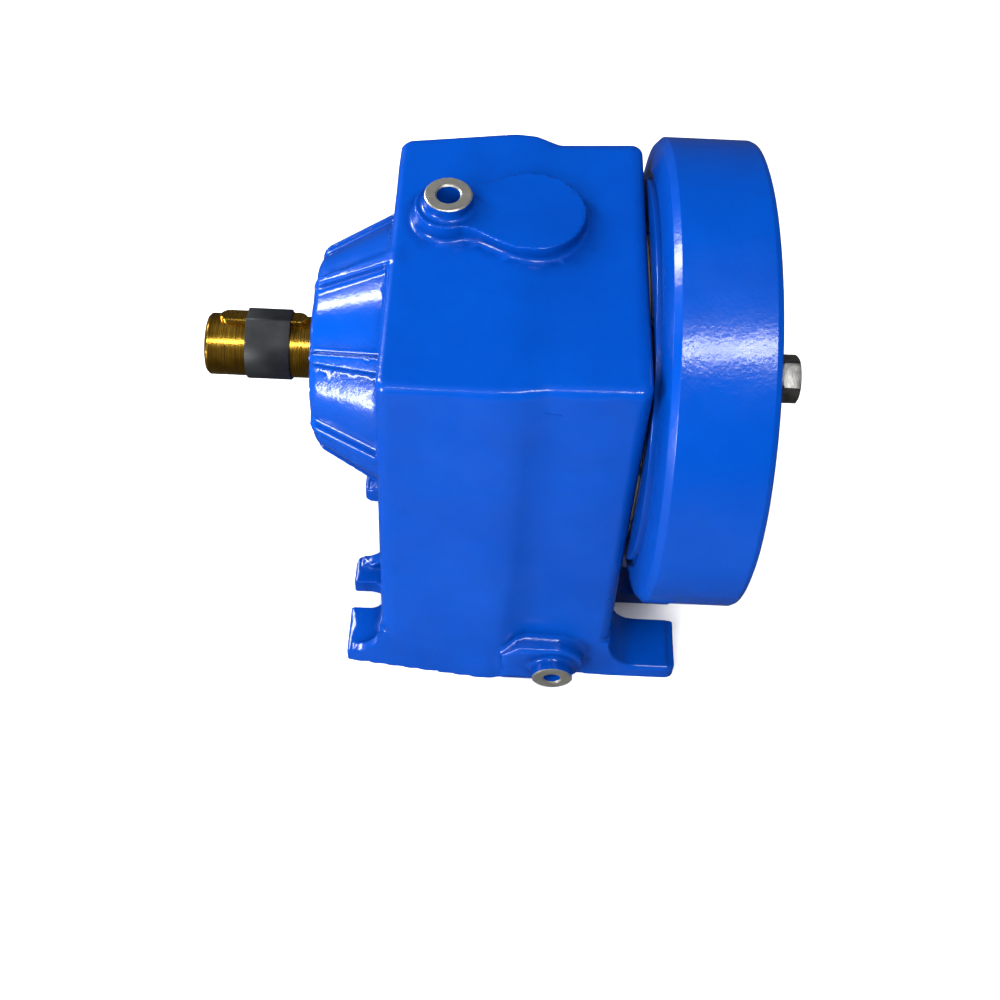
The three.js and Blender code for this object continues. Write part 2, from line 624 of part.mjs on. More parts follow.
// Helical gear about the X axis. hand is 1 or -1, and steps follow the twist along the face.
function helicalGear(pair, teeth, { hand, offset, width, boreR, steps, z }) {
  const shape = gearOutline(pair, teeth, offset);
  if (boreR > 0) {
    const bore = new THREE.Path();
    bore.absarc(0, 0, boreR, 0, 2 * Math.PI, true);
    shape.holes.push(bore);
  }
  const options = { depth: width, steps, bevelEnabled: false, curveSegments: 12 };
  const geometry = new THREE.ExtrudeGeometry(shape, options);
  geometry.translate(0, 0, -width / 2);
  const position = geometry.getAttribute('position');
  const point = new THREE.Vector3();
  const axis = new THREE.Vector3(0, 0, 1);
  const pitchR = (teeth * pair.module) / 2;
  for (let i = 0; i < position.count; i += 1) {
    point.fromBufferAttribute(position, i);
    point.applyAxisAngle(axis, (hand * HELIX_SLOPE * point.z) / pitchR);
    position.setXYZ(i, point.x, point.y, point.z);
  }
  geometry.rotateY(Math.PI / 2);
  return geometry.translate(pair.centreX, 0, z);
}

// Body with round ends that lies along a shaft: a parallel key, or the slot that it sits in.
function keyBody(x0, x1, width, bottomZ, topZ, axisZ) {
  const outline = roundedRectangle(x0, x1, -width / 2, width / 2, width / 2 - 0.01);
  return alongZ(outline, axisZ + bottomZ, axisZ + topZ, 3);
}

function outputGear() {
  const { gearTeeth, width } = OUTPUT_PAIR;
  const seatR = SHAFT.gearR + GAP;
  const blank = helicalGear(OUTPUT_PAIR, gearTeeth,
    { hand: 1, offset: 0, width, boreR: seatR, steps: 1, z: OUTPUT_Z });
  const half = GEAR_KEY.width / 2 + GAP;
  const keyway = box(OUTPUT_PAIR.centreX - width, 0, -half, half, 0, GEAR_KEY.top + GAP);
  return geometryOf(solid(blank).subtract(solid(keyway)));
}

function layshaftGear() {
  const { gearTeeth, width } = INPUT_PAIR;
  const seatR = LAYSHAFT.gearR + GAP;
  const blank = helicalGear(INPUT_PAIR, gearTeeth,
    { hand: -1, offset: 0, width, boreR: seatR, steps: 1, z: LAYSHAFT_Z });
  const half = LAYSHAFT_KEY.width / 2 + GAP;
  const keyTop = LAYSHAFT_Z + LAYSHAFT_KEY.top + GAP;
  const keyway = box(0, INPUT_PAIR.centreX + width, -half, half, LAYSHAFT_Z, keyTop);
  return geometryOf(solid(blank).subtract(solid(keyway)));
}

// ---------------------------------------------------------------- shafts and keys

const tiltKey = (geometry) => geometry.rotateX(-THREE.MathUtils.degToRad(KEY.tilt));

function outputShaft() {
  const r = SHAFT.endR;
  const chamfer = 1.8;
  const rear = BEARINGS.output_rear_bearing;
  const collarX = rear.x + rear.width + GAP;
  const profile = [
    [SHAFT_END_X, 0], [SHAFT_END_X, r - chamfer], [SHAFT_END_X + chamfer, r],
    [NOSE.endX - 1, r], [NOSE.endX, SHAFT.frontSeatR],
    [rear.x - 4, SHAFT.frontSeatR], [rear.x - 4, SHAFT.rearSeatR], [collarX, SHAFT.rearSeatR],
    [collarX, SHAFT.collarR], [collarX + 5.7, SHAFT.collarR], [collarX + 5.7, SHAFT.gearR],
    [SHAFT.gearEndX, SHAFT.gearR], [SHAFT.gearEndX, 0],
  ];
  const body = solid(turned(profile, MEDIUM, 'x'));
  const endKeyway = keyBody(KEY.startX - GAP, KEY.endX + GAP, KEY.width + 2 * GAP,
    r - KEY.depth - GAP, r + 5, 0);
  const gearKeyway = keyBody(GEAR_KEY.startX - GAP, GEAR_KEY.endX + GAP, GEAR_KEY.width + 2 * GAP,
    GEAR_KEY.bottom - GAP, SHAFT.gearR + 5, 0);
  return geometryOf(cut(body, solid(tiltKey(endKeyway)), solid(gearKeyway)));
}

function outputKey() {
  const bottom = SHAFT.endR - KEY.depth;
  return tiltKey(keyBody(KEY.startX, KEY.endX, KEY.width, bottom, bottom + KEY.height, 0));
}

function guardBand() {
  const { startX, endX, thickness } = BAND;
  const innerR = SHAFT.endR + GAP;
  const keyTop = SHAFT.endR - KEY.depth + KEY.height + GAP;
  const half = KEY.width / 2 + GAP;
  const tunnel = solid(tiltKey(box(startX - 1, endX + 1, -half, half, 0, keyTop)));
  const cover = tiltKey(box(startX, endX, -half - thickness, half + thickness, 0, keyTop + thickness));
  const sleeve = solid(rod(startX, endX, innerR + thickness, MEDIUM, 'x'));
  const hollow = solid(rod(startX - 1, endX + 1, innerR, MEDIUM, 'x'));
  return geometryOf(cut(sleeve.add(solid(cover)), hollow, tunnel));
}

function layshaft() {
  const front = BEARINGS.layshaft_front_bearing;
  const rear = BEARINGS.layshaft_rear_bearing;
  const frontSeatX = front.x + front.width + GAP;
  const profile = [
    [front.x, 0], [front.x, LAYSHAFT.bearingR], [frontSeatX, LAYSHAFT.bearingR],
    [frontSeatX, LAYSHAFT.pinionR], [-10, LAYSHAFT.pinionR], [-10, LAYSHAFT.collarR],
    [14, LAYSHAFT.collarR], [14, LAYSHAFT.gearR], [rear.x - 8, LAYSHAFT.gearR],
    [rear.x - 8, LAYSHAFT.backR], [rear.x - GAP, LAYSHAFT.backR], [rear.x - GAP, LAYSHAFT.bearingR],
    [rear.x + rear.width, LAYSHAFT.bearingR], [rear.x + rear.width, 0],
  ];
  const core = solid(turned(profile, COARSE + 4, 'x', [0, 0, LAYSHAFT_Z]));
  const pinion = helicalGear(OUTPUT_PAIR, OUTPUT_PAIR.pinionTeeth,
    { hand: -1, offset: 0.5, width: OUTPUT_PAIR.width, boreR: 0, steps: 2, z: LAYSHAFT_Z });
  const key = LAYSHAFT_KEY;
  const keyway = keyBody(key.startX - GAP, key.endX + GAP, key.width + 2 * GAP,
    key.bottom - GAP, LAYSHAFT.collarR, LAYSHAFT_Z);
  return geometryOf(cut(core.add(solid(pinion)), solid(keyway)));
}

function inputShaft() {
  const inner = BEARINGS.input_inner_bearing;
  const shoulderX = inner.x + inner.width + GAP;
  const profile = [
    [INPUT.frontX, 0], [INPUT.frontX, INPUT.thinR], [inner.x - 2, INPUT.thinR],
    [inner.x - 2, INPUT.innerR], [shoulderX, INPUT.innerR], [shoulderX, INPUT.outerR],
    [INPUT.endX - 1, INPUT.outerR], [INPUT.endX, INPUT.outerR - 1],
    [INPUT.endX, INPUT.boreR], [INPUT.boreX, INPUT.boreR], [INPUT.boreX, 0],
  ];
  const core = solid(turned(profile, MEDIUM, 'x', [0, 0, INPUT_Z]));
  const pinion = helicalGear(INPUT_PAIR, INPUT_PAIR.pinionTeeth,
    { hand: 1, offset: 0, width: INPUT_PAIR.width + 4, boreR: 0, steps: 2, z: INPUT_Z });
  const { startX, half, height } = INPUT_KEYWAY;
  const keyway = box(startX, INPUT.endX + 1, -half, half, INPUT_Z, INPUT_Z + height);
  return geometryOf(cut(core.add(solid(pinion)), solid(keyway)));
}

// ---------------------------------------------------------------- bearings, seals, fasteners

// The balls of a bearing joined by their cage: a ring whose section swells at each ball.
function ballRow(bearing) {
  const middleR = (bearing.boreR + bearing.outerR) / 2;
  const ballR = (bearing.outerR - bearing.boreR) * 0.26;
  const balls = 8;
  const sizes = [1, 0.45];
  const rings = [];
  const steps = balls * sizes.length;
  const sectionSides = 5;
  for (let step = 0; step < steps; step += 1) {
    const around = (step / steps) * 2 * Math.PI;
    const size = ballR * sizes[step % sizes.length];
    for (let side = 0; side < sectionSides; side += 1) {
      const turn = (side / sectionSides) * 2 * Math.PI;
      const r = middleR + size * Math.cos(turn);
      const x = bearing.x + bearing.width / 2 + size * Math.sin(turn);
      rings.push(new THREE.Vector3(x, r * Math.cos(around), bearing.z + r * Math.sin(around)));
    }
  }
  const index = [];
  for (let step = 0; step < steps; step += 1) {
    const next = (step + 1) % steps;
    for (let side = 0; side < sectionSides; side += 1) {
      const nextSide = (side + 1) % sectionSides;
      const a = step * sectionSides + side;
      const b = step * sectionSides + nextSide;
      const c = next * sectionSides + nextSide;
      const d = next * sectionSides + side;
      index.push(a, b, c, a, c, d);
    }
  }
  const geometry = new THREE.BufferGeometry().setFromPoints(rings);
  geometry.setIndex(index);
  return geometry;
}

function bearingPieces(name) {
  const bearing = BEARINGS[name];
  const end = bearing.x + bearing.width;
  const centre = [0, 0, bearing.z];
  const wall = (bearing.outerR - bearing.boreR) * 0.2;
  const { sides } = bearing;
  return [
    piece(`${name}_outer_ring`,
      ring(bearing.x, end, bearing.outerR - wall, bearing.outerR, sides, 'x', centre),
      FINISHES.bearingSteel),
    piece(`${name}_inner_ring`,
      ring(bearing.x, end, bearing.boreR + GAP, bearing.boreR + wall, sides, 'x', centre),
      FINISHES.bearingSteel),
    piece(`${name}_balls`, ballRow(bearing), FINISHES.bearingSteel),
  ];
}

function hexBolt() {
  const { acrossCorners, chamfer } = BOLT;
  const headStart = FLANGE_REAR_X + GAP;
  const [y, z] = boltSpots()[0];
  const shank = rod(FLANGE_REAR_X - BOLT.shankLength, headStart + 0.5, BOLT.shankR, COARSE, 'x', [0, y, z]);
  const halfCorners = acrossCorners / 2;
  const head = rod(headStart, BOLT_HEAD_END_X, halfCorners, 6, 'x');
  const round = turned([
    [headStart, 0], [headStart, halfCorners - chamfer], [headStart + chamfer, halfCorners],
    [BOLT_HEAD_END_X - chamfer, halfCorners], [BOLT_HEAD_END_X, halfCorners - chamfer - 1],
    [BOLT_HEAD_END_X, 0],
  ], MEDIUM, 'x');
  const shaped = solid(head.translate(0, y, z)).intersect(solid(round.translate(0, y, z)));
  return geometryOf(shaped.add(solid(shank)));
}

function flangeScrew([y, z]) {
  const headStart = FLANGE.webRearX + GAP;
  const headEnd = headStart + SCREW.headHeight;
  const profile = [
    [SCREW.tipX, 0], [SCREW.tipX, SCREW.shankR], [headStart, SCREW.shankR], [headStart, SCREW.headR],
    [headEnd, SCREW.headR], [headEnd, 0],
  ];
  return turned(profile, SMALL_HOLE, 'x', [0, y, z]);
}

// ---------------------------------------------------------------- assembly

function piece(name, geometry, finish) {
  const clean = cleaned(geometry);
  clean.computeVertexNormals();
  const mesh = new THREE.Mesh(clean, new THREE.MeshStandardMaterial({ ...finish, flatShading: true }));
  mesh.name = name;
  return mesh;
}

function ringPiece(name, finish, sides = MEDIUM) {
  const { x0, x1, innerR, outerR, z } = RINGS[name];
  return piece(name, ring(x0, x1, innerR, outerR, sides, 'x', [0, 0, z]), finish);
}

function gearKey({ startX, endX, width, bottom, top }, axisZ) {
  return keyBody(startX, endX, width, bottom, top, axisZ);
}

const gearbox = new THREE.Group();
gearbox.add(
  piece('housing', housing(), FINISHES.enamel),
  piece('motor_flange', motorFlange(), FINISHES.enamel),
  piece('flange_gasket', gasket(), FINISHES.gasketPaper),
  piece('output_shaft', outputShaft(), FINISHES.varnishedSteel),
  piece('output_key', outputKey(), FINISHES.varnishedSteel),
  piece('shaft_guard_band', guardBand(), FINISHES.blackPlastic),
  ringPiece('output_oil_seal', FINISHES.sealRubber),
  ringPiece('output_shaft_spacer', FINISHES.gearSteel),
  piece('output_gear', outputGear(), FINISHES.gearSteel),
  piece('output_gear_key', gearKey(GEAR_KEY, OUTPUT_Z), FINISHES.gearSteel),
  ringPiece('output_gear_circlip', FINISHES.darkSteel),
  ringPiece('output_bore_circlip', FINISHES.darkSteel),
  piece('layshaft', layshaft(), FINISHES.gearSteel),
  piece('layshaft_gear', layshaftGear(), FINISHES.gearSteel),
  piece('layshaft_gear_key', gearKey(LAYSHAFT_KEY, LAYSHAFT_Z), FINISHES.gearSteel),
  ringPiece('layshaft_circlip', FINISHES.darkSteel, COARSE),
  piece('input_shaft', inputShaft(), FINISHES.gearSteel),
  ringPiece('input_bore_circlip', FINISHES.darkSteel),
  ringPiece('input_oil_seal', FINISHES.sealRubber),
  piece('motor_bolt', hexBolt(), FINISHES.darkSteel),
  ...Object.keys(BEARINGS).flatMap((name) => bearingPieces(name)),
  ...SCREW_SPOTS.map((spot, i) => piece(`flange_screw_${i + 1}`, flangeScrew(spot), FINISHES.darkSteel)),
);
gearbox.position.set(-(SHAFT_END_X + BOLT_HEAD_END_X) / 2, 0, SHAFT_HEIGHT);

export default gearbox;
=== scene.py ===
import math

import bmesh
import bpy
import numpy as np
import openvdb
from mathutils import Matrix, Vector


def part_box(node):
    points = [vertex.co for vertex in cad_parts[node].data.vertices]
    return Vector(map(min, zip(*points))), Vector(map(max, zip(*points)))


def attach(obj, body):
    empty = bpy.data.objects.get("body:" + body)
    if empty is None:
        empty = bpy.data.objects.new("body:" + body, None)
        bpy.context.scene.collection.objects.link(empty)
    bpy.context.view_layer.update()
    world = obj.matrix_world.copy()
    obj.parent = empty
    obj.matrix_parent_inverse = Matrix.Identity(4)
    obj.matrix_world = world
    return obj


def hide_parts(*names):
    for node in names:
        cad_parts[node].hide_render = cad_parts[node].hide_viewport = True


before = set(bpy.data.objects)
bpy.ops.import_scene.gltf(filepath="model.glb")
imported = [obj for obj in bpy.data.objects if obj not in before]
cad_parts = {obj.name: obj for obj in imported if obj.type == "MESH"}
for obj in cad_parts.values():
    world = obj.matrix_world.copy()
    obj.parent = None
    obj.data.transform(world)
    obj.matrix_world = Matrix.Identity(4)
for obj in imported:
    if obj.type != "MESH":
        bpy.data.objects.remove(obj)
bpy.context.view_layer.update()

# ---------------------------------------------------------------- driving dimensions

MM = 0.001
OUTPUT_Z = 0.0
INPUT_Z = -7.0
LAYSHAFT_Z = -85.0
SHAFT_END_X = -185.0
SHAFT_HEIGHT = 225.0
ORIGIN_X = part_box("output_shaft")[0].x / MM - SHAFT_END_X
GAP = 0.3

FRONT_X = -66.0  # wall that carries the nose, at the roof
REAR_X = 89.0  # joint face of the housing
BLOCK = {
    "top": 95.0, "base": -225.0, "width_top": 102.0, "width_base": 111.0, "front_draft": 6.0,
    "roof_rise": 5.0, "corner_r": 8.0, "edge_r": 5.0, "wall": 10.0,
}
SWELL = {  # the soft ridge, knee and valley that run over the roof and down both sides
    "ridge_x": 2.0, "knee_x": 15.0, "knee": 0.8, "valley_x": 30.0, "valley": -0.2, "far_shift": 6.0,
    "softness": 1.6,
    "near_top": 3.2, "far_top": 5.5, "base": 7.0, "roof_near": 1.4, "roof_far": 2.6,
}
NOSE = {
    "end_x": -113.0, "end_r": 59.5, "wall_r": 85.5, "ribs": 8, "rib_height": 4.6,
    "rib_half_end": 3.4, "rib_half_wall": 5.2, "rib_edge": 1.8, "panel_crown": 1.2, "depth_x": -64.0,
    "edge_r": 5.0, "fillet": 3.5,
}
FOOT = {
    "front_x": -97.0, "rear_x": 139.0, "thick": 14.0, "near_y": 111.0, "far_y": 29.0, "slot_y": 62.0,
    "slot_half": 10.0, "root": 11.0, "rib_half": 5.0, "fillet": 24.0, "fillet_squash": 0.75,
}
PLATFORM_Z = 105.5
NECK = {"x": -16.0, "y": 29.75, "half_x": 16.0, "half_y": 17.25}  # between the blank and the filler's lobe
BLANK = {"x": 19.0, "y": 28.7, "r": 32.3}
FILLER = {"x": -32.0, "y": 31.0, "ring_r": 14.3, "hole_r": 7.3, "face": 113.5, "lobe_r": 20.5}
DRAIN = {"x": 50.0, "z": -198.0, "ring_r": 13.8, "hole_r": 5.9, "face": -129.0, "pad": -120.0}
DRAIN_PAD = {
    "end_z": -196.0, "end_r": 21.0, "x": 32.0, "z": -197.5, "half_x": 18.0, "half_z": 22.5,
    "corner_x": 14.0, "corner_z": -186.0, "low_z": -219.0,
}
BURIED_Y = -90.0  # where the drain boss ends inside the wall
CAST_DRAFT = 0.1
HUBS = {"output_r": 60.0, "layshaft_r": 34.0, "front_x": -64.0, "rear_x": -47.0}
DRUM = {
    "front": 90.6, "rear": 158.0, "r": 150.0, "ring_r": 123.5, "spigot_r": 115.0, "bowl_r": 121.5,
    "web": 106.0, "hub_r": 62.0, "hub_x": 136.0, "throat_r": 30.5, "circle_r": 132.5,
    "bolt_turn": 50.5,
}
OPENING = {"r": 84.0, "top_z": -6.0, "low_z": -34.0, "gasket_r": 96.0}
SCREWS = [(38, 83), (-38, 83), (92, 12), (-92, 12), (92, -42), (-92, -42), (54, -107), (-54, -107)]
KEY = {"start": -176.5, "end": -120.5, "width": 12.0, "height": 8.0, "depth": 5.0, "tilt": 17.0}
BAND = {"start": -159.0, "end": -130.5, "thick": 1.3}
BEARINGS = {  # axis height, bore radius, outer radius, width, start, number of balls
    "output_front": (OUTPUT_Z, 22.5, 42.5, 19.0, -103.5, 9),
    "output_rear": (OUTPUT_Z, 27.5, 50.0, 21.0, -72.0, 10),
    "layshaft_front": (LAYSHAFT_Z, 10.0, 26.0, 15.0, -61.7, 7),
    "layshaft_rear": (LAYSHAFT_Z, 10.0, 26.0, 15.0, 53.0, 7),
    "input_inner": (INPUT_Z, 17.5, 36.0, 17.0, 54.0, 9),
    "input_outer": (INPUT_Z, 27.5, 50.0, 21.0, 100.0, 10),
}
SEAT_CLEARANCE = 0.15
SEAL_R = 36.0
SEALS = {"output": (-112.3, -104.2, 22.8, SEAL_R, OUTPUT_Z), "input": (124.2, 132.2, 27.8, 50.0, INPUT_Z)}
CLIPS = {  # start, end, inner radius, outer radius, axis height, whether it sits in a bore, body
    "output_gear": (-10.2, -8.0, 25.3, 30.0, OUTPUT_Z, False, "output_train"),
    "output_bore": (-50.4, -48.0, 46.0, 50.0, OUTPUT_Z, True, "casing"),
    "layshaft": (39.4, 41.0, 14.3, 18.0, LAYSHAFT_Z, False, "layshaft_train"),
    "input_bore": (121.4, 123.6, 46.0, 50.0, INPUT_Z, True, "casing"),
}
OUTPUT_PAIR = {"module": 2.5, "wheel": 50, "pinion": 18, "x": -27.6, "width": 34.0}
INPUT_PAIR = {"module": 2.0, "wheel": 63, "pinion": 15, "x": 27.0, "width": 24.0}
GEAR_KEY = {"start": -43.0, "end": -13.0, "width": 14.0, "low": 19.5, "high": 28.5}
LAYSHAFT_KEY = {"start": 17.0, "end": 37.0, "width": 8.0, "low": 10.0, "high": 17.0}
SCREW = {"tip": 74.0, "r": 4.0, "head_r": 6.5, "head": 8.0, "hole_r": 4.2}
TRAIN_OF = {"output": "output_train", "layshaft": "layshaft_train", "input": "input_train"}
BALLS_OF = {"output": "output_balls", "layshaft": "layshaft_balls", "input": "input_balls"}
HELIX_SLOPE = 0.23
BACKLASH = 0.5
PRESSURE_ANGLE = math.radians(20)

CAST_STEP = 1.25  # grid size of the castings' fields
ENAMEL_DEEP = (0.0001, 0.029, 0.205)
ENAMEL_BRIGHT = (0.0001, 0.037, 0.25)
# dark blue painted into hollows, creases and the flange gap as shade, and also the tone of the enamel's
# small dark flecks
ENAMEL_PAINTED_SHADE_AND_FLECKS = (0.0001, 0.006, 0.07)
AXIS_ROW = {z: (z + SHAFT_HEIGHT) * MM for z in (OUTPUT_Z, INPUT_Z, LAYSHAFT_Z)}
ROW_OFFSET = np.array([ORIGIN_X, 0.0, SHAFT_HEIGHT])


def to_row(points):
    """Shaft-frame millimetres to row-frame metres."""
    return (np.asarray(points, float) + ROW_OFFSET) * MM


# ---------------------------------------------------------------- fields for the castings
# A field is negative inside the metal and grows by one for each millimetre away from its surface.

def lerp(a, b, t):
    return a + (b - a) * t


def fillet_union(a, b, r):
    """Both shapes, with a hollow fillet of radius r where they meet."""
    corner = np.hypot(np.maximum(r - a, 0), np.maximum(r - b, 0))
    return np.maximum(r, np.minimum(a, b)) - corner


def round_cut(a, b, r):
    """Where both shapes are, with the meeting edge rounded to radius r."""
    corner = np.hypot(np.maximum(r + a, 0), np.maximum(r + b, 0))
    return np.minimum(-r, np.maximum(a, b)) + corner


def soft_ramp(t, width):
    return 0.5 * (t + np.sqrt(t * t + width * width))


def box2(u, v, half_u, half_v, r=0.0):
    du = np.abs(u) - half_u + r
    dv = np.abs(v) - half_v + r
    outside = np.hypot(np.maximum(du, 0), np.maximum(dv, 0))
    return outside + np.minimum(np.maximum(du, dv), 0) - r


def kinked(x, corners):
    """A line through (x, height) corners, with soft kinks between its straight runs."""
    slopes = [(b[1] - a[1]) / (b[0] - a[0]) for a, b in zip(corners, corners[1:])]
    height = corners[0][1] + slopes[0] * (x - corners[0][0])
    for corner, before, after in zip(corners[1:], slopes, slopes[1:]):
        height = height + (after - before) * soft_ramp(x - corner[0], SWELL["softness"])
    return height


def block_parts(x, y, z):
    drop = np.clip((BLOCK["top"] - z) / (BLOCK["top"] - BLOCK["base"]), 0, 1)
    across = np.clip((y + BLOCK["width_top"]) / (2 * BLOCK["width_top"]), 0, 1)
    shift = SWELL["far_shift"] * across
    crest = kinked(x - shift, [(FRONT_X, 0), (SWELL["ridge_x"], 1), (SWELL["knee_x"], SWELL["knee"]),
                               (SWELL["valley_x"], SWELL["valley"]), (REAR_X - SWELL["far_shift"], 0)])
    side_swell = lerp(lerp(SWELL["near_top"], SWELL["far_top"], across), SWELL["base"], drop)
    half_width = lerp(BLOCK["width_top"], BLOCK["width_base"], drop) + side_swell * crest
    side = (np.abs(y) - half_width) * 0.995
    front = FRONT_X - BLOCK["front_draft"] * drop - x
    middle = 0.5 * (FRONT_X + REAR_X)
    rise = BLOCK["roof_rise"] / (REAR_X - FRONT_X)
    roof_swell = lerp(SWELL["roof_near"], SWELL["roof_far"], across) * crest
    roof = z - BLOCK["top"] - rise * (x - middle) - roof_swell
    return side, front, x - REAR_X, roof


def block_field(x, y, z):
    side, front, rear, roof = block_parts(x, y, z)
    r = BLOCK["corner_r"]
    plan = round_cut(round_cut(side, front, r), rear, r)
    return round_cut(plan, roof, BLOCK["edge_r"])


def cavity_field(x, y, z):
    side, front, rear, roof = block_parts(x, y, z)
    wall = BLOCK["wall"]
    plan = round_cut(round_cut(side + wall, front + wall, 5.0), rear + 14.0, 5.0)
    inside = round_cut(plan, roof + wall, 5.0)
    return round_cut(inside, BLOCK["base"] + 12.0 - z, 5.0)


def nose_field(x, y, z):
    share = (x - NOSE["end_x"]) / (FRONT_X - NOSE["end_x"])
    panel_r = lerp(NOSE["end_r"], NOSE["wall_r"], share)
    slope = (NOSE["wall_r"] - NOSE["end_r"]) / (FRONT_X - NOSE["end_x"])
    tilt = 1 / math.hypot(1, slope)
    rho = np.hypot(y, z)
    pitch = 2 * math.pi / NOSE["ribs"]
    angle = np.arctan2(y, z)
    from_rib = (angle + pitch / 2) % pitch - pitch / 2
    away = np.abs(from_rib) * rho
    half = lerp(NOSE["rib_half_end"], NOSE["rib_half_wall"], share)
    crown = NOSE["panel_crown"] * np.cos(from_rib * NOSE["ribs"])
    panel = (rho - panel_r + crown) * tilt
    rib = round_cut((rho - panel_r - NOSE["rib_height"]) * tilt, away - half, NOSE["rib_edge"])
    body = fillet_union(panel, rib, NOSE["fillet"])
    return np.maximum(round_cut(body, NOSE["end_x"] - x, NOSE["edge_r"]), x - NOSE["depth_x"])


def platform_field(x, y, z):
    blank = np.hypot(x - BLANK["x"], y - BLANK["y"]) - BLANK["r"]
    lobe = np.hypot(x - FILLER["x"], y - FILLER["y"]) - FILLER["lobe_r"]
    neck = box2(x - NECK["x"], y - NECK["y"], NECK["half_x"], NECK["half_y"])
    outline = fillet_union(np.minimum(lobe, neck), blank, 14.0)
    drafted = outline + CAST_DRAFT * (z - PLATFORM_Z)
    return np.maximum(round_cut(drafted, z - PLATFORM_Z, 0.7), BLOCK["top"] - 10.0 - z)


def filler_field(x, y, z):
    reach = np.hypot(x - FILLER["x"], y - FILLER["y"]) - FILLER["ring_r"] - 0.4
    boss = np.maximum(reach + 0.03 * (z - FILLER["face"]), z - FILLER["face"] - 1.5)
    return np.maximum(boss, BLOCK["top"] - 10.0 - z)


def drain_field(x, y, z):
    pad = DRAIN_PAD
    right = np.hypot(x - DRAIN["x"], z - pad["end_z"]) - pad["end_r"]
    bar = box2(x - pad["x"], z - pad["z"], pad["half_x"], pad["half_z"])
    chamfer = ((z - pad["corner_z"]) - (x - pad["corner_x"])) / math.sqrt(2)
    outline = np.minimum(right, np.maximum(bar, chamfer))
    outline = np.maximum(outline, pad["low_z"] - z)
    drafted = outline - CAST_DRAFT * (y - DRAIN["pad"])
    raised = np.maximum(round_cut(drafted, DRAIN["pad"] - y, 2.0), y - BURIED_Y)
    reach = np.hypot(x - DRAIN["x"], z - DRAIN["z"]) - DRAIN["ring_r"] - 0.4
    boss = np.maximum(np.maximum(reach, DRAIN["face"] - 1.5 - y), y - BURIED_Y)
    return fillet_union(raised, boss, 2.5)


def foot_field(x, y, z, end):
    """Both prongs at one end (-1 nose, 1 flange) with the gussets that stiffen them."""
    wall_x = FRONT_X - BLOCK["front_draft"] if end < 0 else REAR_X
    tip = (FOOT["front_x"] if end < 0 else FOOT["rear_x"]) * end
    along = x * end
    wall = wall_x * end
    top = BLOCK["base"] + FOOT["thick"]
    middle_y = 0.5 * (FOOT["near_y"] + FOOT["far_y"])
    half_y = 0.5 * (FOOT["near_y"] - FOOT["far_y"])
    lateral = np.abs(y) - middle_y
    outline = box2(along - (wall - 20.0 + tip) / 2, lateral, (tip - wall + 20.0) / 2, half_y, 5.0)
    pad = round_cut(outline, z - top, 2.5)
    slice_xz = fillet_union((z - top) * FOOT["fillet_squash"], along - wall, FOOT["fillet"])
    if end > 0:
        rib = np.abs(lateral) - half_y
    else:
        rib = half_y - FOOT["rib_half"] - np.abs(lateral)
        rib = np.abs(rib) - FOOT["rib_half"]
    gusset = round_cut(np.maximum(slice_xz, along - tip + 6.0), rib, 2.0)
    ceiling = z - top - FOOT["fillet"] / FOOT["fillet_squash"]
    gusset = np.maximum(gusset, np.maximum(wall - 18.0 - along, ceiling))
    return fillet_union(pad, gusset, 2.5)


def foot_slot_field(x, y, z, end):
    """The open bolt slots of the two prongs at one end: a straight run with a round root."""
    wall = (FRONT_X - BLOCK["front_draft"]) * end if end < 0 else REAR_X
    root = wall + FOOT["root"]
    lateral = np.abs(y) - FOOT["slot_y"]
    along = x * end
    straight = np.maximum(np.abs(lateral) - FOOT["slot_half"], root - along)
    round_end = np.hypot(lateral, along - root) - FOOT["slot_half"]
    return np.maximum(np.minimum(straight, round_end), z - BLOCK["base"] - FOOT["thick"] - 34.0)


def housing_field(x, y, z):
    side, _, _, _ = block_parts(x, y, z)
    shape = block_field(x, y, z)
    shape = fillet_union(shape, nose_field(x, y, z), 2.5)
    for end in (-1, 1):
        shape = fillet_union(shape, foot_field(x, y, z, end), 3.0)
    shape = np.maximum(shape, side)
    for end in (-1, 1):
        shape = round_cut(shape, -foot_slot_field(x, y, z, end), 1.2)
    shape = fillet_union(shape, platform_field(x, y, z), 3.0)
    shape = fillet_union(shape, filler_field(x, y, z), 3.0)
    shape = fillet_union(shape, drain_field(x, y, z), 3.5)
    shell = np.maximum(shape, -cavity_field(x, y, z))
    hubs = np.minimum(np.hypot(y, z) - HUBS["output_r"], np.hypot(y, z - LAYSHAFT_Z) - HUBS["layshaft_r"])
    hubs = np.maximum(hubs, np.maximum(HUBS["front_x"] - x, x - HUBS["rear_x"]))
    shell = fillet_union(shell, hubs, 3.0)
    return np.maximum(shell, BLOCK["base"] - z)


def gradient(field, points, reach=0.25):
    parts = []
    for axis in range(3):
        step = np.zeros(3)
        step[axis] = reach
        ahead = field(*(points + step).T)
        behind = field(*(points - step).T)
        parts.append((ahead - behind) / (2 * reach))
    slope = np.stack(parts, 1)
    return slope / np.maximum(np.linalg.norm(slope, axis=1, keepdims=True), 1e-9)


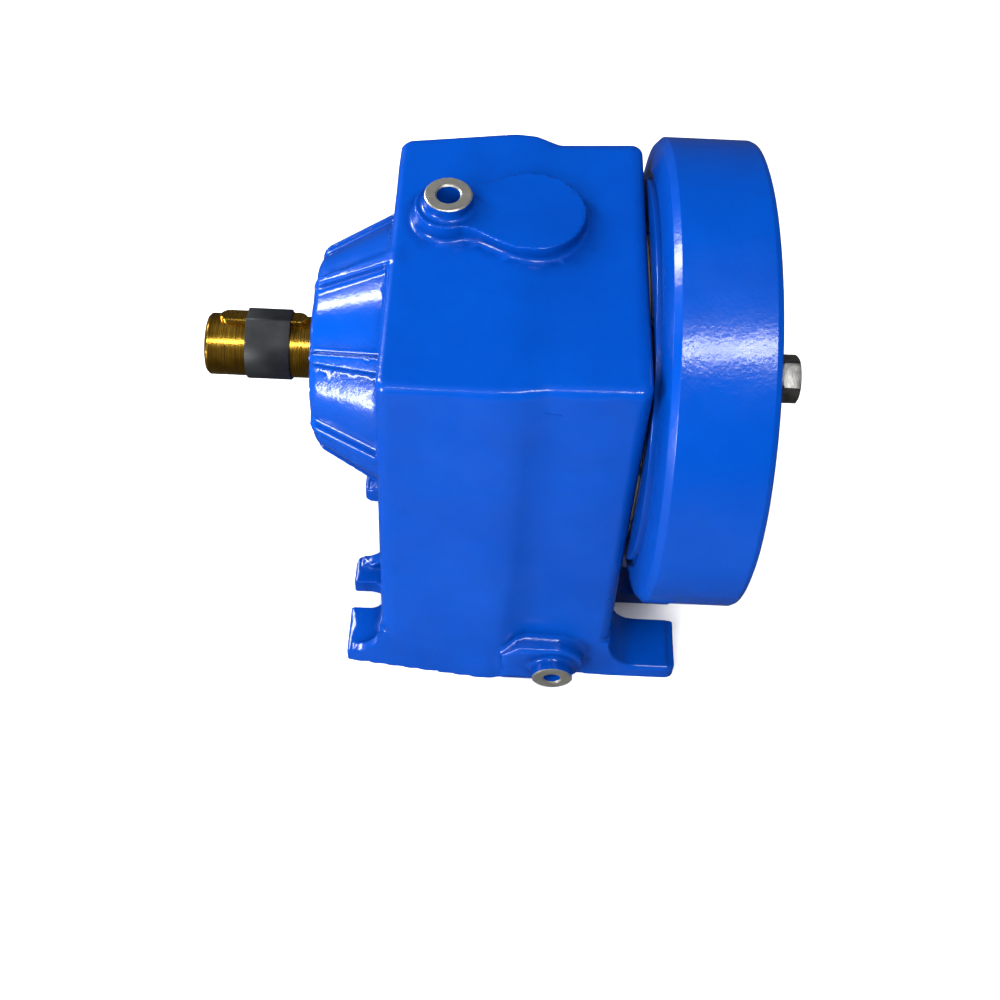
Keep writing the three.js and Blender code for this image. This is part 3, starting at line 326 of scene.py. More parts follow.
def cast_body(name, field, low, high, step, adaptivity):
    """Closed mesh of a field's surface, with its corners drawn exactly onto the surface."""
    low = np.array(low, float)
    counts = np.ceil((np.array(high) - low) / step).astype(int) + 1
    xs, ys, zs = (low[i] + step * np.arange(counts[i]) for i in range(3))
    values = field(xs[:, None, None], ys[None, :, None], zs[None, None, :])
    values = np.clip(np.broadcast_to(values, counts), -3 * step, 3 * step)
    grid = openvdb.FloatGrid(background=3 * step)
    grid.copyFromArray(np.ascontiguousarray(values, dtype=np.float32))
    corners, triangles, quads = grid.convertToPolygons(isovalue=0, adaptivity=adaptivity)
    points = low + step * corners.astype(float)
    for _ in range(3):
        offset = np.clip(field(*points.T), -step, step)
        points -= gradient(field, points) * offset[:, None]
    faces = [tuple(f) for f in triangles] + [tuple(f) for f in quads]
    return mesh_object(name, points, faces)


# ---------------------------------------------------------------- mesh helpers

def mesh_object(name, points, faces):
    """A Blender object from shaft-frame millimetres."""
    mesh = bpy.data.meshes.new(name)
    mesh.from_pydata(to_row(points).tolist(), [], [list(map(int, f)) for f in faces])
    mesh.update()
    obj = bpy.data.objects.new(name, mesh)
    bpy.context.scene.collection.objects.link(obj)
    return obj


def apply_modifiers(obj):
    depsgraph = bpy.context.evaluated_depsgraph_get()
    mesh = bpy.data.meshes.new_from_object(obj.evaluated_get(depsgraph), preserve_all_data_layers=True,
                                           depsgraph=depsgraph)
    old = obj.data
    obj.modifiers.clear()
    obj.data = mesh
    bpy.data.meshes.remove(old)
    return obj


def boolean(obj, others, operation="DIFFERENCE"):
    for other in others:
        modifier = obj.modifiers.new("cut", "BOOLEAN")
        modifier.operation = operation
        modifier.object = other
        modifier.solver = "MANIFOLD"
    apply_modifiers(obj)
    for other in others:
        mesh = other.data
        bpy.data.objects.remove(other)
        bpy.data.meshes.remove(mesh)
    return obj


def bevel(obj, width, segments=2, angle=40):
    modifier = obj.modifiers.new("bevel", "BEVEL")
    modifier.width = width * MM
    modifier.segments = segments
    modifier.limit_method = "ANGLE"
    modifier.angle_limit = math.radians(angle)
    modifier.harden_normals = False
    return apply_modifiers(obj)


def smooth(obj, angle=32):
    obj.data.shade_smooth()
    obj.data.set_sharp_from_angle(angle=math.radians(angle))
    return obj


def rounded(profile, steps=5):
    """A closed profile of (x, r, fillet) corners as plain points, each fillet drawn as an arc."""
    corners = [np.array(c[:2], float) for c in profile]
    result = []
    for i, corner in enumerate(corners):
        fillet = profile[i][2] if len(profile[i]) > 2 else 0
        back = corners[i - 1] - corner
        ahead = corners[(i + 1) % len(corners)] - corner
        back_length, ahead_length = np.linalg.norm(back), np.linalg.norm(ahead)
        if fillet <= 0 or back_length < 1e-6 or ahead_length < 1e-6:
            result.append(tuple(corner))
            continue
        back, ahead = back / back_length, ahead / ahead_length
        half = 0.5 * math.acos(np.clip(back @ ahead, -1, 1))
        reach = min(fillet / math.tan(half), 0.49 * back_length, 0.49 * ahead_length)
        radius = reach * math.tan(half)
        centre = corner + (back + ahead) / np.linalg.norm(back + ahead) * radius / math.sin(half)
        start = corner + back * reach - centre
        end = corner + ahead * reach - centre
        turn = math.atan2(start[0] * end[1] - start[1] * end[0], start @ end)
        for k in range(steps + 1):
            a = turn * k / steps
            u = start[0] * math.cos(a) - start[1] * math.sin(a)
            v = start[0] * math.sin(a) + start[1] * math.cos(a)
            result.append((centre[0] + u, centre[1] + v))
    return result


def lathe(name, profile, sides=96, axis="x", centre=(0, 0, 0), steps=5):
    """Turned body from a closed (along, radius, fillet) profile. Radius 0 marks the axis."""
    outline = rounded(profile, steps)
    points, rows = [], []
    for along, radius in outline:
        if radius < 1e-6:
            rows.append([len(points)] * sides)
            points.append((along, 0.0, 0.0))
            continue
        rows.append(list(range(len(points), len(points) + sides)))
        for k in range(sides):
            a = 2 * math.pi * k / sides
            points.append((along, radius * math.cos(a), radius * math.sin(a)))
    faces = []
    for i, row in enumerate(rows):
        following = rows[(i + 1) % len(rows)]
        for k in range(sides):
            loop = [row[k], row[(k + 1) % sides], following[(k + 1) % sides], following[k]]
            unique = list(dict.fromkeys(loop))
            if len(unique) > 2:
                faces.append(unique)
    points = np.array(points)
    if axis == "y":
        points = points[:, [1, 0, 2]]
    if axis == "z":
        points = points[:, [1, 2, 0]]
    obj = mesh_object(name, points + np.array(centre, float), faces)
    return outward(obj)


def outward(obj):
    """Turns a closed mesh's faces to look out."""
    mesh = bmesh.new()
    mesh.from_mesh(obj.data)
    bmesh.ops.recalc_face_normals(mesh, faces=mesh.faces)
    if mesh.calc_volume(signed=True) < 0:
        bmesh.ops.reverse_faces(mesh, faces=mesh.faces)
    mesh.to_mesh(obj.data)
    mesh.free()
    return obj


def rod(name, start, end, radius, axis="x", centre=(0, 0, 0), sides=64, fillet=0.0):
    profile = [(start, 0), (start, radius, fillet), (end, radius, fillet), (end, 0)]
    return lathe(name, profile, sides, axis, centre, 3)


def loft(name, rings):
    """Closed body through rings of equal point counts, with flat ends."""
    count = len(rings[0])
    points = [p for ring in rings for p in ring]
    faces = [list(range(count))[::-1], [len(points) - count + k for k in range(count)]]
    for i in range(len(rings) - 1):
        for k in range(count):
            a, b = i * count + k, i * count + (k + 1) % count
            faces.append([a, b, b + count, a + count])
    return outward(mesh_object(name, points, faces))


def slot_outline(x0, x1, y0, y1, r, steps=12):
    points = []
    corners = ((x1 - r, y1 - r, 0), (x0 + r, y1 - r, 90), (x0 + r, y0 + r, 180), (x1 - r, y0 + r, 270))
    for cx, cy, start in corners:
        for k in range(steps + 1):
            a = math.radians(start + 90 * k / steps)
            points.append((cx + r * math.cos(a), cy + r * math.sin(a)))
    return points


def long_hole(name, r, x0, x1):
    """Two half circles joined by straight sides, in the Y-Z plane."""
    outline = slot_outline(OPENING["low_z"] - r, OPENING["top_z"] + r, -r, r, r - 0.001, 24)
    return loft(name, [[(x, y, z) for z, y in outline] for x in (x0, x1)])


def block(name, x0, x1, y0, y1, z0, z1):
    corners = [(x0, y0), (x1, y0), (x1, y1), (x0, y1)]
    return loft(name, [[(x, y, z) for x, y in corners] for z in (z0, z1)])


def key_body(name, x0, x1, width, z0, z1, axis_z=0.0, chamfer=0.5):
    """Parallel key with round ends, and its long edges broken."""
    rings = []
    for z, inset in ((z0, chamfer), (z0 + chamfer, 0), (z1 - chamfer, 0), (z1, chamfer)):
        half = width / 2 - inset
        outline = slot_outline(x0 + inset, x1 - inset, -half, half, half - 0.001)
        rings.append([(x, y, axis_z + z) for x, y in outline])
    return loft(name, rings)


def turned_about_x(obj, degrees, axis_z=0.0):
    centre = Vector(to_row((0, 0, axis_z)))
    turn = Matrix.Rotation(math.radians(degrees), 4, "X")
    obj.data.transform(Matrix.Translation(centre) @ turn @ Matrix.Translation(-centre))
    return obj


def join(name, objects):
    """Joins meshes that stay separate bodies of one piece."""
    combined = bmesh.new()
    for obj in objects:
        combined.from_mesh(obj.data)
    mesh = bpy.data.meshes.new(name)
    combined.to_mesh(mesh)
    combined.free()
    for obj in objects:
        old = obj.data
        bpy.data.objects.remove(obj)
        bpy.data.meshes.remove(old)
    result = bpy.data.objects.new(name, mesh)
    bpy.context.scene.collection.objects.link(result)
    return result


def read(data, name, width, kind=float):
    """One attribute of every element, as rows of the given width."""
    values = np.zeros(len(data) * width, kind)
    data.foreach_get(name, values)
    return values.reshape(-1, width) if width > 1 else values


def shaft_mm(obj):
    return read(obj.data.vertices, "co", 3) / MM - ROW_OFFSET


def face_centres(obj):
    return read(obj.data.polygons, "center", 3) / MM - ROW_OFFSET


def cast_and_machined(obj, field, machined):
    """Gives cast faces the field's own smooth normals and slot 0, and machined faces slot 1.

    machined(centres) says which faces are bare metal."""
    mesh = smooth(obj).data
    points = shaft_mm(obj)
    face_normals = read(mesh.polygons, "normal", 3)
    bare = machined(face_centres(obj))
    mesh.polygons.foreach_set("material_index", bare.astype(np.int32))
    corner_normals = read(mesh.corner_normals, "vector", 3)
    corner_vertex = read(mesh.loops, "vertex_index", 1, np.int32)
    sizes = read(mesh.polygons, "loop_total", 1, np.int32)
    corner_face = np.repeat(np.arange(len(mesh.polygons)), sizes)
    exact = gradient(field, points)[corner_vertex]
    aligned = np.einsum("ij,ij->i", exact, face_normals[corner_face]) > 0.6
    on_surface = (np.abs(field(*points.T)) < 0.2)[corner_vertex]
    use = on_surface & aligned & ~bare[corner_face]
    corner_normals[use] = exact[use]
    mesh.normals_split_custom_set(corner_normals.tolist())
    return obj


# ---------------------------------------------------------------- node materials

class Nodes:
    """Small helper that builds one node material from the object's own coordinates, in metres."""

    def __init__(self, name, **shader_values):
        self.material = bpy.data.materials.new(name)
        self.material.use_nodes = True
        self.tree = self.material.node_tree
        self.shader = self.tree.nodes["Principled BSDF"]
        for socket, value in shader_values.items():
            self.shader.inputs[socket.replace("_", " ")].default_value = value
        self.place = self.tree.nodes.new("ShaderNodeTexCoord").outputs["Object"]

    def put(self, socket, value):
        if isinstance(value, bpy.types.NodeSocket):
            self.tree.links.new(value, socket)
        else:
            socket.default_value = value

    def noise(self, scale, detail=3.0, rough=0.55, place=None, distort=0.0):
        node = self.tree.nodes.new("ShaderNodeTexNoise")
        self.put(node.inputs["Vector"], place or self.place)
        node.inputs["Scale"].default_value = scale
        node.inputs["Detail"].default_value = detail
        node.inputs["Roughness"].default_value = rough
        node.inputs["Distortion"].default_value = distort
        return node.outputs["Fac"]

    def math(self, operation, a, b=0.0, c=0.0):
        node = self.tree.nodes.new("ShaderNodeMath")
        node.operation = operation
        for socket, value in zip(node.inputs, (a, b, c)):
            self.put(socket, value)
        return node.outputs[0]

    def span(self, value, low, high, to_low=0.0, to_high=1.0):
        node = self.tree.nodes.new("ShaderNodeMapRange")
        for socket, amount in zip(node.inputs, (value, low, high, to_low, to_high)):
            self.put(socket, amount)
        return node.outputs[0]

    def mix(self, share, a, b):
        node = self.tree.nodes.new("ShaderNodeMix")
        node.data_type = "RGBA"
        self.put(node.inputs["Factor"], share)
        for socket, value in ((node.inputs[6], a), (node.inputs[7], b)):
            self.put(socket, (*value, 1) if isinstance(value, tuple) else value)
        return node.outputs[2]

    def stretched(self, sx, sy, sz, place=None):
        node = self.tree.nodes.new("ShaderNodeVectorMath")
        node.operation = "MULTIPLY"
        self.put(node.inputs[0], place or self.place)
        node.inputs[1].default_value = (sx, sy, sz)
        return node.outputs[0]

    def about_axis(self, axis, y, z):
        """(along, radius, angle share) about an axis through two given row-frame coordinates."""
        split = self.tree.nodes.new("ShaderNodeSeparateXYZ")
        self.put(split.inputs[0], self.place)
        order = {"x": ("X", "Y", "Z"), "y": ("Y", "X", "Z"), "z": ("Z", "X", "Y")}[axis]
        along, u, v = (split.outputs[name] for name in order)
        u = self.math("SUBTRACT", u, y)
        v = self.math("SUBTRACT", v, z)
        squares = self.math("ADD", self.math("MULTIPLY", u, u), self.math("MULTIPLY", v, v))
        radius = self.math("SQRT", squares)
        angle = self.math("ARCTAN2", v, u)
        joined = self.tree.nodes.new("ShaderNodeCombineXYZ")
        for socket, value in zip(joined.inputs, (along, radius, self.math("MULTIPLY", angle, 0.004))):
            self.put(socket, value)
        return joined.outputs[0]

    def attribute(self, name):
        node = self.tree.nodes.new("ShaderNodeAttribute")
        node.attribute_name = name
        return node.outputs["Fac"]

    def bump(self, height, distance, after=None):
        node = self.tree.nodes.new("ShaderNodeBump")
        node.inputs["Strength"].default_value = 1.0
        node.inputs["Distance"].default_value = distance
        self.put(node.inputs["Height"], height)
        if after is not None:
            self.put(node.inputs["Normal"], after)
        return node.outputs["Normal"]

    def finish(self, colour, roughness=None, normal=None, coat_normal=None):
        pairs = (("Base Color", colour), ("Roughness", roughness), ("Normal", normal),
                 ("Coat Normal", coat_normal))
        for socket, value in pairs:
            if value is not None:
                self.put(self.shader.inputs[socket], value)
        return self.material


def enamel():
    n = Nodes("blue_enamel", Coat_Weight=0.12, Coat_Roughness=0.05, Specular_IOR_Level=0.18)
    broad = n.noise(14.0, 4.0)
    patch = n.noise(60.0, 3.0)
    colour = n.mix(n.span(broad, 0.3, 0.7), ENAMEL_DEEP, ENAMEL_BRIGHT)
    colour = n.mix(n.span(patch, 0.35, 0.75, 0.0, 0.25), colour, ENAMEL_DEEP)
    # painted shade: where the stored openness is low, in corners, creases and the gap at the flange, the
    # blue is darkened towards the shade colour
    painted_shade_share = n.span(n.attribute("shade_openness"), 0.35, 1.0, 0.45, 0.0)
    colour = n.mix(painted_shade_share, colour, ENAMEL_PAINTED_SHADE_AND_FLECKS)
    # small dark flecks in the paint, in the same dark blue
    specks = n.span(n.noise(900.0, 2.0), 0.72, 0.8)
    colour = n.mix(n.math("MULTIPLY", specks, 0.25), colour, ENAMEL_PAINTED_SHADE_AND_FLECKS)
    roughness = n.span(n.noise(45.0, 5.0), 0.3, 0.7, 0.17, 0.27)
    sway = n.bump(n.noise(22.0, 1.0), 0.0004)
    lumps = n.bump(n.noise(150.0, 2.0, 0.5), 0.00014, after=sway)
    peel = n.bump(n.noise(420.0, 2.0, 0.5, distort=0.4), 0.00013, after=lumps)
    coat = n.bump(n.noise(330.0, 2.0, 0.5, distort=0.4), 0.00014, after=lumps)
    return n.finish(colour, roughness, peel, coat)


def machined_face():
    n = Nodes("machined_iron", Metallic=0.85)
    marks = n.noise(1.0, 4.0, 0.6, place=n.stretched(500, 500, 2500))
    broad = n.noise(90.0, 4.0)
    colour = n.mix(n.span(broad, 0.3, 0.7), (0.30, 0.29, 0.26), (0.42, 0.41, 0.37))
    colour = n.mix(n.span(marks, 0.55, 0.75, 0, 0.4), colour, (0.2, 0.19, 0.17))
    roughness = n.span(marks, 0.3, 0.7, 0.32, 0.5)
    return n.finish(colour, roughness, n.bump(marks, 0.00005))


def turned_steel(name, light, dark, low_rough, high_rough, axis_z, stain=0.35):
    """Steel with turning marks about an axis along X at the given row-frame height."""
    lines = 2600.0
    n = Nodes(name, Metallic=1.0)
    place = n.about_axis("x", 0.0, axis_z)
    rings = n.noise(1.0, 3.0, 0.7, place=n.stretched(lines, lines, 60.0, place))
    wide = n.noise(1.0, 3.0, 0.6, place=n.stretched(240.0, 240.0, 30.0, place))
    cloud = n.noise(55.0, 5.0, 0.6)
    colour = n.mix(n.span(cloud, 0.3, 0.72), light, dark)
    colour = n.mix(n.span(wide, 0.5, 0.75, 0.0, stain), colour, dark)
    roughness = n.span(rings, 0.3, 0.7, low_rough, high_rough)
    fine = n.bump(rings, 0.00002)
    return n.finish(colour, roughness, n.bump(wide, 0.000012, after=fine))


def dark_steel():
    n = Nodes("dark_steel", Metallic=0.9)
    cloud = n.noise(160.0, 5.0, 0.6)
    grain = n.noise(1400.0, 3.0)
    colour = n.mix(n.span(cloud, 0.32, 0.7), (0.055, 0.058, 0.06), (0.17, 0.165, 0.155))
    roughness = n.span(grain, 0.3, 0.7, 0.32, 0.5)
    return n.finish(colour, roughness, n.bump(grain, 0.00006, after=n.bump(cloud, 0.00012)))


def band_plastic():
    n = Nodes("black_plastic", Specular_IOR_Level=0.28)
    grain = n.noise(1700.0, 3.0)
    wave = n.noise(70.0, 3.0)
    colour = n.mix(n.span(wave, 0.3, 0.7), (0.003, 0.0035, 0.0045), (0.007, 0.008, 0.0095))
    roughness = n.span(grain, 0.3, 0.7, 0.42, 0.6)
    return n.finish(colour, roughness, n.bump(grain, 0.00008, after=n.bump(wave, 0.0002)))


def rubber():
    n = Nodes("seal_rubber", Specular_IOR_Level=0.35)
    grain = n.noise(1200.0, 4.0)
    dust = n.noise(90.0, 4.0)
    colour = n.mix(n.span(dust, 0.45, 0.8), (0.014, 0.014, 0.015), (0.045, 0.043, 0.04))
    return n.finish(colour, n.span(grain, 0.3, 0.7, 0.5, 0.72), n.bump(grain, 0.00008))


def fibre():
    n = Nodes("gasket_paper", Specular_IOR_Level=0.25)
    strands = n.noise(1.0, 4.0, 0.7, place=n.stretched(300, 1800, 500))
    flecks = n.noise(800.0, 3.0)
    colour = n.mix(n.span(strands, 0.3, 0.7), (0.21, 0.19, 0.13), (0.34, 0.31, 0.23))
    colour = n.mix(n.span(flecks, 0.6, 0.75, 0.0, 0.5), colour, (0.12, 0.1, 0.07))
    return n.finish(colour, n.span(flecks, 0.3, 0.7, 0.75, 0.95), n.bump(strands, 0.00012))


BLUE = enamel()
IRON = machined_face()
GOLD = turned_steel("varnished_steel", (0.72, 0.42, 0.05), (0.30, 0.14, 0.012), 0.16, 0.34,
                    AXIS_ROW[OUTPUT_Z])
DARK = dark_steel()
PLASTIC = band_plastic()
RUBBER = rubber()
PAPER = fibre()
STEEL = {}
CHROME = {}
for level, height in AXIS_ROW.items():
    label = int(height * 1000)
    STEEL[level] = turned_steel(f"gear_steel_{label}", (0.56, 0.55, 0.53), (0.34, 0.33, 0.31), 0.22, 0.38,
                                height)
for level, height in AXIS_ROW.items():
    label = int(height * 1000)
    CHROME[level] = turned_steel(f"bearing_steel_{label}", (0.80, 0.80, 0.79), (0.62, 0.61, 0.59), 0.08, 0.2,
                                 height, stain=0.15)


def settle(obj, node, body, materials):
    """Gives a finished piece its materials and the body it rides on, and hides the CAD node it stands for.
    """
    slots = read(obj.data.polygons, "material_index", 1, np.int32)
    obj.data.materials.clear()
    for material in materials:
        obj.data.materials.append(material)
    obj.data.polygons.foreach_set("material_index", np.minimum(slots, len(materials) - 1))
    # pieces without their own openness get none of the enamel's painted shade
    if "shade_openness" not in obj.data.attributes:
        store_openness(obj, np.ones(len(obj.data.vertices)))
    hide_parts(node)
    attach(obj, body)
    return obj


def store_openness(obj, values):
    layer = obj.data.attributes.new("shade_openness", "FLOAT", "POINT")
    layer.data.foreach_set("value", np.asarray(values, np.float32))


# ---------------------------------------------------------------- housing

def mark_hollow_shade(obj, field, reach=9.0):
    """Stores how open the space over each point is: 1 on open faces, less in corners, where the enamel
    paints shade.
    """
    points = shaft_mm(obj)
    away = points + gradient(field, points) * reach
    shade_openness = np.clip(field(*away.T) / reach, 0, 1)
    store_openness(obj, shade_openness)


def make_housing():
    obj = cast_body("housing_casting", housing_field, (-115, -132, -227), (142, 119, 117), CAST_STEP, 0.08)
    front, rear, lay = BEARINGS["output_front"], BEARINGS["output_rear"], BEARINGS["layshaft_front"]
    clear = SEAT_CLEARANCE
    seal_r = SEAL_R + clear
    inside_x = -40.0
    bore = [
        (-120, 0), (-120, 38.5), (NOSE["end_x"], seal_r + 1.2), (NOSE["end_x"] + 1.2, seal_r),
        (front[4] - GAP, seal_r), (front[4] - GAP, front[2] + clear), (rear[4] - GAP, front[2] + clear),
        (rear[4] - GAP, rear[2] + clear), (inside_x, rear[2] + clear), (inside_x, 0),
    ]

    def boss_cut(boss, up, end):
        """Faces a boss off flat, and drills it to end; up is the way that its face looks."""
        face, ring_r, hole_r = boss["face"], boss["ring_r"], boss["hole_r"]
        return [
            (face + 6 * up, 0), (face + 6 * up, 20), (face - 0.6 * up, 20), (face - 0.6 * up, ring_r + 0.2),
            (face, ring_r - 0.5), (face, hole_r + 0.9), (face - 0.9 * up, hole_r), (end, hole_r), (end, 0),
        ]

    cutters = [
        lathe("bore", bore, 96),
        rod("lay_pocket", lay[4] - GAP, inside_x, lay[2] + clear, centre=(0, 0, LAYSHAFT_Z)),
        long_hole("opening", OPENING["r"], 60, 95),
        lathe("filler_cut", boss_cut(FILLER, 1, 70), 64, "z", (FILLER["x"], FILLER["y"], 0)),
        lathe("drain_cut", boss_cut(DRAIN, -1, BURIED_Y), 64, "y", (DRAIN["x"], 0, DRAIN["z"])),
    ]
    cutters += [rod("screw_hole", SCREW["tip"] - 3, 95, SCREW["hole_r"], centre=(0, y, z), sides=24)
                for y, z in SCREWS]
    boolean(obj, cutters)

    def machined(centres):
        x, y, z = centres.T
        seats = x < HUBS["rear_x"] + 0.5
        bore = (np.hypot(y, z) < rear[2] + 0.6) & (x > NOSE["end_x"] + 1.4) & seats
        pocket = (np.hypot(y, z - LAYSHAFT_Z) < lay[2] + 0.6) & (x > lay[4] - 0.8) & seats
        filler = np.hypot(x - FILLER["x"], y - FILLER["y"]) < FILLER["ring_r"] + 0.3
        filler &= z > FILLER["face"] - 0.62
        drain = np.hypot(x - DRAIN["x"], z - DRAIN["z"]) < DRAIN["ring_r"] + 0.3
        drain &= y < DRAIN["face"] + 0.62
        return bore | pocket | filler | drain

    cast_and_machined(obj, housing_field, machined)
    mark_hollow_shade(obj, housing_field)
    settle(obj, "housing", "casing", [BLUE, IRON])


make_housing()


# ---------------------------------------------------------------- motor flange

def make_flange():
    d = DRUM
    hub_in = d["throat_r"]
    input_axis = (0, 0, INPUT_Z)
    lay_axis = (0, 0, LAYSHAFT_Z)
    profile = [
        (d["front"], hub_in - 2), (d["front"], d["ring_r"], 0.8), (95.6, d["ring_r"] + 0.4, 2.0),
        (95.6, 126.5, 1.2), (93.1, 128.2, 0.8), (97.5, 146.0, 0.8), (101.5, d["r"], 1.0),
        (d["rear"] - 4.0, d["r"], 1.0), (d["rear"] - 1.2, d["r"] - 1.2, 0.8), (d["rear"], d["r"] - 4, 0.5),
        (d["rear"], d["spigot_r"] + 0.8), (d["rear"] - 0.8, d["spigot_r"]), (d["rear"] - 5, d["spigot_r"]),
        (d["rear"] - 5, 108.0, 1.0), (d["rear"] - 16, 108.0, 1.5), (d["rear"] - 16, d["bowl_r"], 3.0),
        (d["web"], d["bowl_r"], 6.0), (d["web"], d["hub_r"], 7.0), (d["hub_x"], d["hub_r"], 2.5),
        (d["hub_x"], hub_in - 2),
    ]
    obj = lathe("motor_drum", profile, 240, centre=(0, 0, INPUT_Z))
    outer, inner, lay = BEARINGS["input_outer"], BEARINGS["input_inner"], BEARINGS["layshaft_rear"]
    boss_x = inner[4] - 2
    plug = long_hole("plug", OPENING["r"] - GAP, d["front"] - 8, d["front"] + 2)
    bosses = [
        rod("boss", boss_x, d["front"] + 1, inner[2] + 8, centre=input_axis, sides=96, fillet=1.5),
        rod("lay_boss", boss_x, d["front"] + 1, lay[2] + 4, centre=lay_axis, sides=64, fillet=1.5),
    ]
    boolean(obj, [plug, *bosses], "UNION")
    clear = SEAT_CLEARANCE
    cutters = [
        rod("throat", 0, outer[4], hub_in, centre=input_axis),
        rod("inner_seat", 0, inner[4] + inner[3] + GAP, inner[2] + clear, centre=input_axis, sides=96),
        rod("outer_seat", outer[4] - GAP, d["hub_x"] + 1, outer[2] + clear, centre=input_axis, sides=96),
        rod("lay_seat", 0, lay[4] + lay[3] + GAP, lay[2] + clear, centre=lay_axis),
    ]
    for quarter in range(4):
        a = math.radians(d["bolt_turn"] + 90 * quarter)
        y, z = -d["circle_r"] * math.cos(a), INPUT_Z + d["circle_r"] * math.sin(a)
        hole = [(d["rear"] - 30, 0), (d["rear"] - 27, 8.2), (d["rear"] - 1, 8.2), (d["rear"] + 0.2, 9.4),
                (d["rear"] + 2, 9.4), (d["rear"] + 2, 0)]
        cutters.append(lathe("bolt_hole", hole, 48, centre=(0, y, z)))
    for y, z in SCREWS:
        cutters.append(rod("screw_hole", 88, d["web"] + 2, SCREW["hole_r"], centre=(0, y, z), sides=24))
    boolean(obj, cutters)
    smooth(obj, 30)
    x, y, z = face_centres(obj).T
    reach = np.hypot(y, z - INPUT_Z)
    machined = (x > d["rear"] - 5.2) & (reach < d["r"] - 4)
    machined |= (reach < outer[2] + 1.0) | ((x > d["hub_x"] - 0.1) & (reach < d["hub_r"] - 2))
    obj.data.polygons.foreach_set("material_index", machined.astype(np.int32))
    # painted shade: the ring just behind the drum's front face, in the gap to the housing, is stored half
    # open, so the enamel darkens there
    x, y, z = shaft_mm(obj).T
    groove = (np.hypot(y, z - INPUT_Z) < 129.0) & (x > d["front"]) & (x < 97.0)
    store_openness(obj, np.where(groove, 0.5, 1.0))
    settle(obj, "motor_flange", "casing", [BLUE, IRON])

    gasket = long_hole("flange_gasket_sheet", OPENING["gasket_r"], REAR_X + GAP, d["front"] - GAP)
    holes = [long_hole("inside", OPENING["r"] + 1, REAR_X - 2, d["front"] + 2)]
    holes += [rod("hole", 86, 94, 4.6, centre=(0, y, z), sides=24) for y, z in SCREWS]
    settle(smooth(boolean(gasket, holes)), "flange_gasket", "casing", [PAPER])


make_flange()


# ---------------------------------------------------------------- gears

def involute(angle):
    return math.tan(angle) - angle


def gear_outline(module, teeth, turn, trim=0.0):
    pitch_r = 0.5 * teeth * module
    base_r = pitch_r * math.cos(PRESSURE_ANGLE)
    tip_r = pitch_r + module - trim
    root_r = pitch_r - 1.25 * module
    half_at_pitch = 0.5 * (math.pi * module / 2 - BACKLASH) / pitch_r + involute(PRESSURE_ANGLE)
    start_r = max(base_r, root_r + 0.25 * module)
    flank = []
    for k in range(7):
        r = lerp(start_r, tip_r, k / 6)
        flank.append((r, half_at_pitch - involute(math.acos(min(1.0, base_r / r)))))
    widest = flank[0][1]
    pitch_angle = 2 * math.pi / teeth
    foot = min(widest + 0.28 * module / root_r, 0.49 * pitch_angle)
    side = [(root_r, foot), (root_r + 0.08 * module, widest + 0.5 * (foot - widest))] + flank
    points = []
    for tooth in range(teeth):
        middle = (tooth + turn) * pitch_angle
        for r, half in side:
            points.append((r, middle - half))
        for r, half in reversed(side):
            points.append((r, middle + half))
    return points


def gear_body(name, pair, teeth, width, axis_z, hand, turn=0.0):
    """Helical gear with involute flanks and broken tooth ends; turn is a share of one tooth."""
    module, centre_x = pair["module"], pair["x"]
    steps = 8
    pitch_r = 0.5 * teeth * module
    chamfer = 0.35 * module
    offsets = [-0.5 * width, -0.5 * width + chamfer]
    offsets += [lerp(-0.5 * width + chamfer, 0.5 * width - chamfer, k / steps) for k in range(1, steps)]
    offsets += [0.5 * width - chamfer, 0.5 * width]
    rings = []
    for i, offset in enumerate(offsets):
        trim = chamfer if i in (0, len(offsets) - 1) else 0.0
        twist = hand * HELIX_SLOPE * offset / pitch_r
        ring = [(centre_x + offset, r * math.sin(a + twist), axis_z - r * math.cos(a + twist))
                for r, a in gear_outline(module, teeth, turn, trim)]
        rings.append(ring)
    return loft(name, rings)


def face_recesses(pair, axis_z, inner_r, outer_r):
    """Shallow turned recesses in both faces of a gear blank."""
    depth = 5.0
    slope = 0.8 * depth
    cutters = []
    for side in (-1, 1):
        face = pair["x"] + side * pair["width"] / 2
        floor = face - side * depth
        profile = [(face + side, inner_r - 1), (face + side, outer_r + 1), (face, outer_r),
                   (floor, outer_r - slope, 1.2), (floor, inner_r + slope, 1.2), (face, inner_r)]
        cutters.append(lathe("recess", profile, 96, centre=(0, 0, axis_z)))
    return cutters


def settle_gear_key(name, node, key, axis_z, body):
    body_of_key = key_body(name, key["start"], key["end"], key["width"], key["low"], key["high"], axis_z)
    settle(smooth(body_of_key), node, body, [STEEL[axis_z]])


